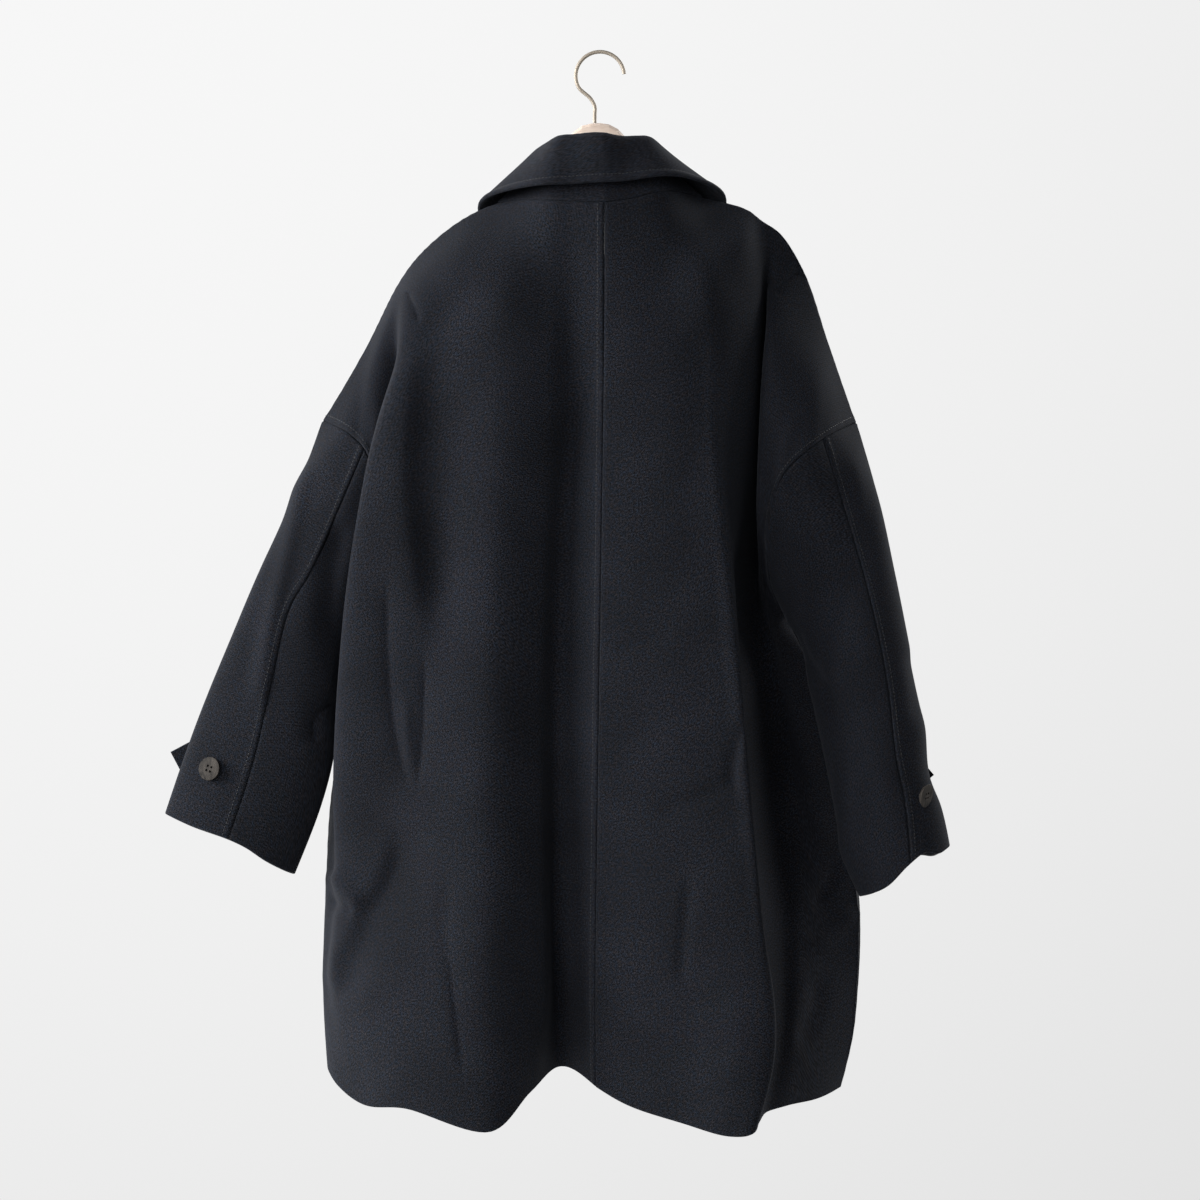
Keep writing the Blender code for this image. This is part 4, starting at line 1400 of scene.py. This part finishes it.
@dataclass(frozen=True)
class Button:
    """Flat four-hole button, turned from one blank and sewn on with thread over a wound stem.

    Attributes:
        radius: of the button.
        height: of its face over its foot.
        lift: of its foot over the cloth.
        foot: share of its radius that its foot has.
        round_off: of the edge round its face.
        slack: distance within which points count as level or as on its face.
        thread_level: height over its foot at which each bight of thread leaves its holes.
        loop_rise: how high a bight rises, as a share of a half circle.
        tail: how far the thread goes on down its holes.
        drill_depth: length of the drill, more than twice the button's height.
        shank_radius: of the stem, which goes into cloth and button by shank_sink.
    """

    radius: float = 11.5
    height: float = 4.0
    lift: float = 0.6
    foot: float = 0.72
    round_off: float = 0.9
    round_steps: int = 4
    slack: float = 0.02
    hole_radius: float = 1.15
    hole_place: float = 2.1
    drill_depth: float = 16.0
    thread_level: float = 2.75
    thread_radius: float = 0.45
    thread_sides: int = 12
    loop_steps: int = 16
    loop_rise: float = 0.45
    tail: float = 0.9
    shank_radius: float = 1.7
    shank_sink: float = 0.8
    sides: int = 64
    small_sides: int = 20
    smooth_angle: float = math.radians(40)

    def build(self, name: str, node: str, place: Matrix, sewn_at: Vector, horn: Material,
              thread: Material) -> None:
        """Models the button and its thread, and sets them on the cloth.

        Args:
            name: the piece's name.
            node: the node that it stands for.
            place: where it sits, its Z pointing out of the cloth.
            sewn_at: point of the cloth under it.
            horn: finish of the button.
            thread: finish of the thread.
        """
        blank = self.turned_blank(name)
        self.drill(blank)
        self.place(blank, place, horn, "horn")
        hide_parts(node)
        for number, sign in enumerate((-1.0, 1.0)):
            self.place(self.thread_loop(f"{name}_thread_{number}", sign), place, thread, "wool_shell")
        self.wind_shank(f"{name}_shank", place.translation, sewn_at, thread)

    def wind_shank(self, name: str, foot: Vector, sewn_at: Vector, thread: Material) -> None:
        """Winds thread between cloth and button, as the stem that the button tilts on.

        Args:
            name: the piece's name.
            foot: middle of the button's foot.
            sewn_at: point of the cloth under it.
            thread: finish of the thread.
        """
        way = foot - sewn_at
        depth = way.length / MM + 2 * self.shank_sink
        shank = add_cylinder(name, self.shank_radius, depth, self.small_sides)
        upright = way.to_track_quat("Z", "Y").to_matrix().to_4x4()
        upright.translation = (foot + sewn_at) / 2
        self.place(shank, upright, thread, "wool_shell")

    def turned_blank(self, name: str) -> Object:
        """Disc with a rounded edge round its face and a smaller foot."""
        blank = add_cylinder(name, self.radius, self.height, self.sides, (0.0, 0.0, self.height / 2))
        bpy.ops.object.transform_apply(location=True, rotation=True, scale=True)
        bpy.ops.object.mode_set(mode="EDIT")
        select_where(blank, "FACE", lambda face: face.calc_center_median().z < self.slack * MM)
        bpy.ops.transform.resize(value=(self.foot, self.foot, 1.0), center_override=(0.0, 0.0, 0.0))
        top = (self.height - self.slack) * MM
        select_where(blank, "EDGE", lambda edge: min(corner.co.z for corner in edge.verts) > top)
        bpy.ops.mesh.bevel(offset=self.round_off * MM, segments=self.round_steps, affect="EDGES")
        bpy.ops.object.mode_set(mode="OBJECT")
        return blank

    def drill(self, blank: Object) -> None:
        """Cuts the four holes through the button's middle."""
        for x in (-self.hole_place, self.hole_place):
            for y in (-self.hole_place, self.hole_place):
                cutter = add_cylinder("drill", self.hole_radius, self.drill_depth, self.small_sides,
                                      (x, y, 0.0))
                bpy.ops.object.select_all(action="DESELECT")
                blank.select_set(True)
                bpy.context.view_layer.objects.active = blank
                hole = blank.modifiers.new("hole", "BOOLEAN")
                hole.operation = "DIFFERENCE"
                hole.solver = "EXACT"
                hole.object = cutter
                bpy.ops.object.modifier_apply(modifier=hole.name)
                bpy.data.objects.remove(cutter)

    def thread_loop(self, name: str, sign: float) -> Object:
        """One bight of thread from hole to hole."""
        floor = self.thread_level * MM
        reach = self.hole_place * MM
        bpy.ops.object.select_all(action="DESELECT")
        bpy.ops.mesh.primitive_circle_add(vertices=self.thread_sides, radius=self.thread_radius * MM,
                                          location=(reach, sign * reach, floor))
        loop = bpy.context.object
        loop.name = name
        bpy.ops.object.transform_apply(location=True, rotation=True, scale=True)
        bpy.ops.object.mode_set(mode="EDIT")
        bpy.ops.mesh.select_all(action="SELECT")
        bpy.ops.mesh.spin(steps=self.loop_steps, angle=math.pi, center=(0.0, sign * reach, floor),
                          axis=(0.0, -1.0, 0.0))
        bpy.ops.mesh.select_all(action="SELECT")
        bpy.ops.transform.resize(value=(1.0, 1.0, self.loop_rise), center_override=(0.0, 0.0, floor))
        bpy.ops.mesh.select_all(action="DESELECT")
        bpy.ops.mesh.select_mode(type="EDGE")
        bpy.ops.mesh.select_non_manifold()
        bpy.ops.mesh.extrude_region_move(TRANSFORM_OT_translate={"value": (0.0, 0.0, -self.tail * MM)})
        bpy.ops.mesh.edge_face_add()
        bpy.ops.mesh.select_all(action="SELECT")
        bpy.ops.mesh.normals_make_consistent(inside=False)
        bpy.ops.object.mode_set(mode="OBJECT")
        return loop

    def place(self, thing: Object, place: Matrix, finish: Material, slot: str) -> None:
        """Args:
            thing: the piece.
            place: where its own origin goes, and how it is turned.
            finish: its material.
            slot: the record's material slot that its finish belongs to; not used.
        """
        bpy.ops.object.select_all(action="DESELECT")
        thing.select_set(True)
        bpy.context.view_layer.objects.active = thing
        thing.data.transform(place)
        thing.data.materials.clear()
        thing.data.materials.append(finish)
        bpy.ops.object.shade_smooth_by_angle(angle=self.smooth_angle)
        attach(thing, "root")
        LOG.info("%s: %d faces", thing.name, len(thing.data.polygons))


@dataclass(frozen=True)
class Studio:
    """Pale floor, soft light that is strongest from the left, and the camera behind the coat.

    Attributes:
        floor_z: height of the floor.
        floor_radius: of the floor's disc.
        wall_light: strength of the pale light where it is brightest.
        room_light: its strength where it is dimmest.
        backdrop: how pale it looks at least, where it is seen behind the coat.
        bright_way: direction that it grows brighter towards.
        bright_range: how far along that way it starts to grow and is brightest.
        paint: its colour.
        lights: for each light its name, place, size and power.
    """

    floor_z: float = -1.9
    floor_radius: float = 3.7
    aim: Knot = (0.0, 0.0, -0.55)
    wall_light: float = 0.975
    room_light: float = 0.13
    backdrop: float = 0.66
    bright_way: Knot = (-0.15, 0.80, 0.20)
    bright_range: Place = (0.2, 0.84)
    paint: str = "#fafafa"
    floor_sides: int = 96
    sensor: float = 36.0
    lights: tuple[tuple[str, Knot, float, float], ...] = (
        ("window_left", (-3.2, -0.8, 0.4), 2.2, 225.0),
        ("room_left", (-1.4, -3.2, 0.4), 2.2, 70.0),
        ("wall_right", (2.6, 1.6, 0.9), 2.2, 110.0),
        ("wall_left", (-2.9, 2.2, 0.9), 2.2, 65.0),
    )

    def build(self, floor_finish: Material) -> None:
        """Sets the floor, the lights, the sky and the camera.

        Args:
            floor_finish: finish of the floor.
        """
        bpy.ops.object.select_all(action="DESELECT")
        bpy.ops.mesh.primitive_circle_add(vertices=self.floor_sides, radius=self.floor_radius,
                                          fill_type="NGON", location=(0.0, 0.0, self.floor_z))
        floor = bpy.context.object
        floor.name = "paper_floor"
        floor.data.materials.append(floor_finish)
        for name, place, size, power in self.lights:
            lamp = bpy.data.lights.new(name, "AREA")
            lamp.shape = "DISK"
            lamp.size = size
            lamp.energy = power
            holder = bpy.data.objects.new(name, lamp)
            holder.location = place
            holder.rotation_euler = (Vector(self.aim) - Vector(place)).to_track_quat("-Z", "Y").to_euler()
            bpy.context.scene.collection.objects.link(holder)
        self.sky()
        self.camera()

    def sky(self) -> None:
        """Pale light that grows from the room's side to the wall beyond the coat and the ceiling."""
        world = bpy.data.worlds.new("pale_room")
        bpy.context.scene.world = world
        world.use_nodes = True
        tree = world.node_tree
        way = add_node(tree, "ShaderNodeTexCoord").outputs["Generated"]
        slope = add_node(tree, "ShaderNodeVectorMath", {"operation": "DOT_PRODUCT"},
                         {0: way, 1: self.bright_way}).outputs["Value"]
        strength = stretch(tree, slope, *self.bright_range, self.room_light, self.wall_light)
        seen = compute(tree, "MAXIMUM", strength, self.backdrop)
        ray = add_node(tree, "ShaderNodeLightPath").outputs["Is Camera Ray"]
        either = add_node(tree, "ShaderNodeMix", {"data_type": "FLOAT"}, {0: ray, 2: strength, 3: seen})
        inputs = {"Color": linear(self.paint), "Strength": either.outputs[0]}
        set_inputs(tree, tree.nodes["Background"], inputs)

    def camera(self) -> None:
        """A level camera straight behind the coat."""
        lens = bpy.data.cameras.new("camera")
        lens.sensor_width = self.sensor
        lens.lens = self.sensor / 2 * CAMERA_DISTANCE / HALF_VIEW
        eye = bpy.data.objects.new("camera", lens)
        eye.location = (0.0, -CAMERA_DISTANCE * MM, CAMERA_Z * MM)
        eye.rotation_euler = (math.pi / 2, 0.0, 0.0)
        bpy.context.scene.collection.objects.link(eye)
        bpy.context.scene.camera = eye
        bpy.context.scene.view_settings.view_transform = "Standard"


RIGHT_BACK = (
    CENTRE_SEAM,
    FoldLine("inner_plane", -490, (
        (-145, 25, -54), (-300, 28, -79), (-500, 28, -92), (-700, 30, -98), (-850, 32, -100),
        (-984, 25, -98))),
    FoldLine("middle_plane", -490, (
        (-136, 61, -44), (-300, 68, -80), (-500, 72, -96), (-700, 78, -106), (-850, 82, -112),
        (-997, 74, -118))),
    FoldLine("outer_plane", -490, (
        (-136, 98, -2), (-200, 100, -55), (-300, 95, -75), (-400, 97, -88), (-500, 104, -96),
        (-700, 122, -110), (-850, 136, -122), (-1006, 116, -135))),
    FoldLine("plane_edge", -490, (
        (-147, 139, 0), (-185, 135, -32), (-230, 119, -56), (-290, 109, -69), (-350, 108, -77),
        (-390, 110, -83), (-430, 114, -88), (-500, 121, -94), (-600, 130, -103), (-700, 138, -111),
        (-800, 147, -117), (-950, 156, -126), (-1004, 138, -137))),
    FoldLine("plane_back", -495, (
        (-158, 154, 0), (-200, 150, -20), (-250, 146, -36), (-300, 145, -38), (-350, 144, -36),
        (-400, 142, -28), (-440, 136, -20), (-480, 128, -22), (-540, 122, -36), (-600, 121, -46),
        (-700, 129, -56), (-800, 140, -74), (-900, 150, -94), (-997, 145, -118))),
    FoldLine("recess", -500, (
        (-171, 172, 0), (-215, 159, -3), (-260, 159, 5), (-300, 158, 10), (-350, 155, 13),
        (-450, 152, 16), (-550, 148, 18), (-650, 158, 15), (-750, 167, 2), (-850, 171, -36),
        (-930, 167, -68), (-990, 153, -100))),
    FoldLine("shoulder_roll", -510, (
        (-207, 195, 0), (-237, 168, -24), (-281, 157, -42), (-312, 153, -47), (-368, 149, -52),
        (-447, 147, -40), (-500, 152, -8), (-560, 164, 17), (-650, 180, 20), (-760, 190, 4),
        (-870, 188, -36), (-986, 175, -82))),
    FoldLine("shoulder_face", -522, (
        (-275, 218, 0), (-311, 201, -38), (-346, 180, -56), (-417, 157, -56), (-452, 154, -44),
        (-490, 156, -14), (-560, 172, 20), (-650, 190, 21), (-760, 210, 9), (-870, 215, -16),
        (-984, 204, -55))),
    FoldLine("armhole_and_side", -535, (
        (-350, 244, 0), (-360, 223, -34), (-371, 205, -54), (-399, 173, -66), (-439, 159, -56),
        (-478, 157, -38), (-510, 163, -12), (-535, 178, 22), (-575, 199, 34), (-620, 216, 36),
        (-720, 238, 32), (-824, 249, 14), (-890, 246, 4), (-930, 241, -8),
        (-978, 228, -24)), at_armhole=True),
)
LEFT_BACK = (
    CENTRE_SEAM,
    FoldLine("trough", -490, (
        (-147, -25, -54), (-300, -25, -66), (-500, -34, -64), (-650, -40, -60), (-800, -42, -52),
        (-900, -40, -46), (-956, -36, -44))),
    FoldLine("trough_lip", -490, (
        (-145, -50, -48), (-300, -48, -76), (-500, -55, -80), (-650, -58, -84), (-800, -54, -86),
        (-900, -53, -88), (-973, -64, -92))),
    FoldLine("ridge", -490, (
        (-142, -98, -2), (-200, -92, -58), (-300, -90, -82), (-500, -98, -94), (-700, -104, -104),
        (-850, -105, -114), (-1004, -99, -122))),
    FoldLine("soft_valley", -490, (
        (-156, -130, 0), (-200, -135, -48), (-270, -146, -64), (-400, -150, -74), (-520, -154, -78),
        (-640, -170, -80), (-740, -192, -74), (-800, -194, -72), (-880, -190, -90), (-986, -179, -104))),
    FoldLine("edge", -490, (
        (-188, -169, 0), (-230, -181, -36), (-300, -188, -58), (-400, -216, -64), (-500, -235, -62),
        (-600, -244, -58), (-700, -247, -50), (-800, -243, -42), (-870, -249, -40), (-920, -240, -48),
        (-988, -218, -72))),
    FoldLine("inner_fold", -500, (
        (-215, -190, 0), (-250, -196, -26), (-290, -191, -26), (-330, -182, -10), (-380, -173, 6),
        (-450, -172, 16), (-550, -200, 18), (-640, -232, 12), (-720, -249, -5), (-800, -253, -12),
        (-880, -258, -14), (-976, -246, -38))),
    FoldLine("shoulder_face", -515, (
        (-278, -222, 0), (-312, -218, -26), (-347, -211, -36), (-415, -208, -28), (-455, -212, -12),
        (-490, -218, 6), (-560, -221, 22), (-640, -238, 20), (-720, -254, 10), (-820, -262, 4),
        (-890, -263, 0), (-964, -258, -8))),
    FoldLine("armhole_and_side", -530, (
        (-348, -264, 0), (-358, -243, -28), (-371, -226, -38), (-399, -214, -38), (-439, -216, -26),
        (-478, -221, -8), (-510, -227, 12), (-530, -232, 28), (-620, -246, 36), (-720, -260, 34),
        (-820, -263, 28), (-890, -263, 22), (-962, -257, 12)), at_armhole=True),
)
BODY_CREASES = {
    "back_left": (
        # Dart at the shoulder, the soft step beside the fold that starts there, and a shallow hollow
        Crease(((-180, -233), (-173, -248), (-167, -262)), -3.0, (3, 3), 5, True),
        Crease(((-176, -262), (-180, -330), (-184, -400), (-180, -450), (-172, -510), (-165, -590)), 7.5,
               (16, 26), 100),
        Crease(((-150, -420), (-150, -480), (-151, -545)), -3.5, (18, 18), 40),
        # Flattened fold that ends in a point
        Crease(((-196, -490), (-195, -594), (-190, -640), (-182, -675), (-173, -706)), -3.6, (7, 8), 45,
               True),
        Crease(((-163, -560), (-165, -640), (-171, -706)), -3.2, (8, 5), 40, True),
        Crease(((-180, -600), (-178, -650), (-174, -690)), 2.0, (6, 6), 30),
        # Folds at the lower left
        Crease(((-186, -720), (-190, -767), (-203, -794), (-221, -819), (-236, -846), (-234, -900)), -7.0,
               (26, 10), 45),
        Crease(((-252, -768), (-236, -786), (-219, -804)), 4.0, (7, 7), 12),
        Crease(((-219, -806), (-232, -828), (-244, -852), (-244, -885)), 4.6, (8, 8), 20),
        Crease(((-252, -793), (-239, -806), (-227, -807)), -3.6, (5, 5), 9),
        Crease(((-141, -765), (-144, -820), (-137, -880), (-127, -965)), -2.8, (12, 4), 30, True),
        # Trough beside the centre seam
        Crease(((-6, -290), (-20, -350), (-29, -410), (-36, -536), (-40, -640)), -4.0, (12, 12), 80),
    ),
    "back_right": (
        Crease(((190, -214), (177, -220), (168, -227), (163, -238)), -3.0, (3, 3), 5, True),
        Crease(((135, -622), (128, -652), (122, -681), (129, -704)), -2.2, (5, 7), 20),
        Crease(((84, -765), (78, -815), (74, -885)), -2.6, (6, 5), 30),
        Crease(((10, -566), (47, -556), (72, -552)), -1.7, (6, 6), 18),
        Crease(((6, -758), (47, -768), (95, -771)), -1.9, (6, 7), 26),
        Crease(((45, -716), (93, -701), (130, -686)), -2.2, (7, 7), 26),
        Crease(((112, -200), (118, -300), (104, -400), (110, -500)), 2.0, (16, 14), 60),
        # Folds on the side below the sleeve
        Crease(((222, -762), (212, -782), (196, -804)), -4.0, (6, 6), 14),
        Crease(((240, -798), (216, -826), (190, -846)), 3.4, (9, 9), 20),
        Crease(((206, -860), (198, -900), (184, -940)), -3.0, (9, 9), 26),
    ),
    "front_left": (
        Crease(((-112, -330), (-118, -520), (-108, -720), (-116, -930)), -4.5, (24, 20), 120),
        Crease(((-176, -420), (-160, -560), (-168, -700)), -3.5, (16, 18), 80),
        Crease(((-60, -560), (-66, -740), (-58, -940)), 3.0, (20, 22), 100),
    ),
    "front_right": (
        Crease(((104, -330), (112, -500), (104, -700), (114, -935)), -4.5, (22, 24), 120),
        Crease(((160, -430), (148, -560), (158, -720)), -3.0, (16, 16), 80),
        Crease(((60, -600), (54, -760), (62, -940)), 3.0, (20, 20), 100),
    ),
}
BODY = Body(
    rows=RowPlan(split=12),
    steps=12,
    backs={Side.RIGHT: RIGHT_BACK, Side.LEFT: LEFT_BACK},
    armholes={
        Side.RIGHT: ((-350, 244, 0), (-372, 240, 24), (-405, 228, 40), (-450, 208, 46), (-495, 190, 40),
                     (-535, 178, 22)),
        Side.LEFT: ((-348, -264, 0), (-372, -262, 26), (-405, -254, 40), (-450, -243, 46), (-495, -236, 42),
                    (-530, -232, 28)),
    },
    creases=BODY_CREASES,
    depth={Side.RIGHT: 54.5, Side.LEFT: 48.0},
)
SLEEVES = (
    Sleeve(
        Side.RIGHT,
        (
            SleeveSection(0.18, (263, -14, -422), (190, -10, -575), 41, 0.39),
            SleeveSection(0.36, (278, -22, -493), (201, -28, -622), 39, 0.374),
            SleeveSection(0.55, (292, -32, -569), (212, -38, -677), 38, 0.374),
            SleeveSection(0.72, (304, -42, -637), (221, -46, -727), 36, 0.406),
            SleeveSection(0.85, (309, -44, -687), (225, -48, -757), 36, 0.38),
            SleeveSection(0.92, (319, -45, -713), (233, -49, -776), 36, 0.43),
            SleeveSection(1.00, (327, -46, -748), (243, -50, -797), 36, 0.485),
        ),
        cuff_wave=((0.0, -2.0), (0.12, -3.0), (0.3, 6.0), (0.5, 3.5), (0.72, -4.0), (1.0, 0.5)),
        seam_row=2, button_row=0.862, button_share=0.33, button_turn=25.0, button_dip=27.0,
        tab_end=(304, -696), tab_droop=50.0,
        creases={
            "under": (
                Crease(((178, -540), (188, -572), (206, -598), (216, -630)), -4.0, (7, 9), 16),
                Crease(((196, -520), (212, -560), (228, -610)), 2.0, (12, 12), 30),
                Crease(((232, -640), (246, -690), (262, -735)), -2.0, (12, 12), 34),
            ),
            "top": (
                Crease(((232, -384), (240, -420), (238, -452)), 1.4, (7, 7), 16),
                Crease(((286, -560), (293, -600), (292, -640)), -2.2, (7, 8), 22),
            ),
        },
    ),
    Sleeve(
        Side.LEFT,
        (
            SleeveSection(0.18, (-289, 0, -415), (-244, 6, -574), 36, 0.476),
            SleeveSection(0.36, (-320, 2, -482), (-249, 4, -619), 33, 0.42),
            SleeveSection(0.55, (-350, 4, -553), (-253, 2, -665), 31, 0.448),
            SleeveSection(0.75, (-381, 4, -628), (-265, 0, -715), 30, 0.487),
            SleeveSection(1.00, (-414, 2, -721), (-290, 0, -777), 30, 0.508),
        ),
        cuff_wave=((0.0, -1.5), (0.15, -2.0), (0.5, 1.5), (0.65, 1.0), (0.8, -3.0), (0.92, -3.8),
                   (1.0, -3.0)),
        seam_row=3, button_row=0.846, button_share=0.322, button_turn=0.0, button_dip=0.0,
        tab_end=(-405, -680), tab_droop=28.0,
        creases={
            "under": (
                Crease(((-241, -440), (-246, -495), (-247, -530), (-244, -565)), -7.0, (12, 16), 30),
                Crease(((-232, -594), (-250, -592), (-266, -588)), 4.5, (13, 20), 40),
                Crease(((-238, -612), (-250, -618), (-262, -629), (-262, -655)), -5.5, (9, 7), 12, True),
            ),
            "top": (
                Crease(((-268, -385), (-282, -444), (-290, -476), (-299, -514), (-306, -546), (-312, -588),
                        (-317, -632)), 4.6, (8, 13), 40),
                Crease(((-284, -400), (-300, -480), (-317, -550), (-330, -620)), -2.6, (11, 11), 50),
            ),
        },
    ),
)
COLLAR = Collar({
    Side.RIGHT: ((0.00, 58, 8, 41, 28), (0.25, 46, 20, 34, 36), (0.50, 37, 41, 38, 52),
                 (0.75, 24, 24, 50, 46), (1.00, 16, 4, 62, 22)),
    Side.LEFT: ((0.00, 58, 8, 41, 28), (0.25, 53, 19, 43, 36), (0.50, 43, 41, 44, 47),
                (0.75, 26, 24, 50, 46), (1.00, 16, 4, 62, 22)),
})


@dataclass
class Coat:
    """The whole coat, from its panels to its sewing and buttons."""

    body: Body
    sleeves: tuple[Sleeve, ...]
    collar: Collar
    button: Button = Button()
    stitches: StitchRow = StitchRow()

    def build(self) -> None:
        """Cuts, joins and dresses every panel, then sews on the fittings."""
        cloth = WoolTwill().make()
        lining = SatinLining().make()
        thread = SewingThread().make()
        horn = PolishedHorn().make()
        body = self.body
        backs = {side: body.back(side) for side in Side}
        fronts = {side: body.front(side, backs[side]) for side in Side}
        pieces = body.pieces(backs, fronts)
        for sleeve in self.sleeves:
            rings = sleeve.rings(body.rows, backs[sleeve.side], fronts[sleeve.side], sleeve.row_split)
            pieces += sleeve.pieces(body.rows, rings)
        pieces += self.collar.pieces(body.neckline(backs, fronts))
        share_normals(pieces)
        pieces += self.straps_and_buttons(horn, thread)
        for piece in pieces:
            piece.build(cloth, piece_lining(piece, cloth, lining))
            for rim, edge in piece.edges.items():
                if edge.stitch:
                    line, outward = piece.line_at(rim)
                    self.stitches.build(f"stitches_{piece.name}_{rim.name.lower()}", line, outward, thread)

    def straps_and_buttons(self, horn: Material, thread: Material) -> list[ClothPiece]:
        """Sets the cuff buttons and cuts the cuff straps, both where the solids have them.

        Args:
            horn: finish of the buttons.
            thread: finish of the thread that holds them.

        Returns:
            The straps' panels.
        """
        coarse = Body(RowPlan(1), 2, self.body.backs, self.body.armholes, {}, self.body.depth)
        straps = []
        for sleeve in self.sleeves:
            back = coarse.back(sleeve.side)
            rings = sleeve.rings(coarse.rows, back, coarse.front(sleeve.side, back), 1)
            node = f"cuff_button_{sleeve.side.value}"
            place, sewn_at = sleeve.button_frame(coarse.rows, rings)
            self.button.build(f"horn_{node}", node, place, sewn_at, horn, thread)
            straps.append(sleeve.tab(rings))
        return straps


def piece_lining(piece: ClothPiece, cloth: Material, lining: Material) -> Material:
    """Finish of a panel's other face: cloth on collar and straps, lining on body and sleeves."""
    return cloth if piece.name.startswith(("collar", "cuff")) else lining


def finish_hanger() -> None:
    """Gives the hanger and its hook, whose solids stay, their wood and metal."""
    for node, finish in (("hanger", LacqueredBeech().make()), ("hanger_hook", SatinNickelWire().make())):
        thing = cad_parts[node]
        for slot in thing.material_slots:
            slot.material = finish
        LOG.info("%s: %s", node, finish.name)


def main() -> None:
    """Builds the dressed coat, its hanger's finishes and the studio."""
    logging.basicConfig(level=logging.INFO, format="%(name)s: %(message)s")
    Coat(BODY, SLEEVES, COLLAR).build()
    finish_hanger()
    Studio().build(MattPaper().make())


if __name__ == "__main__":
    main()
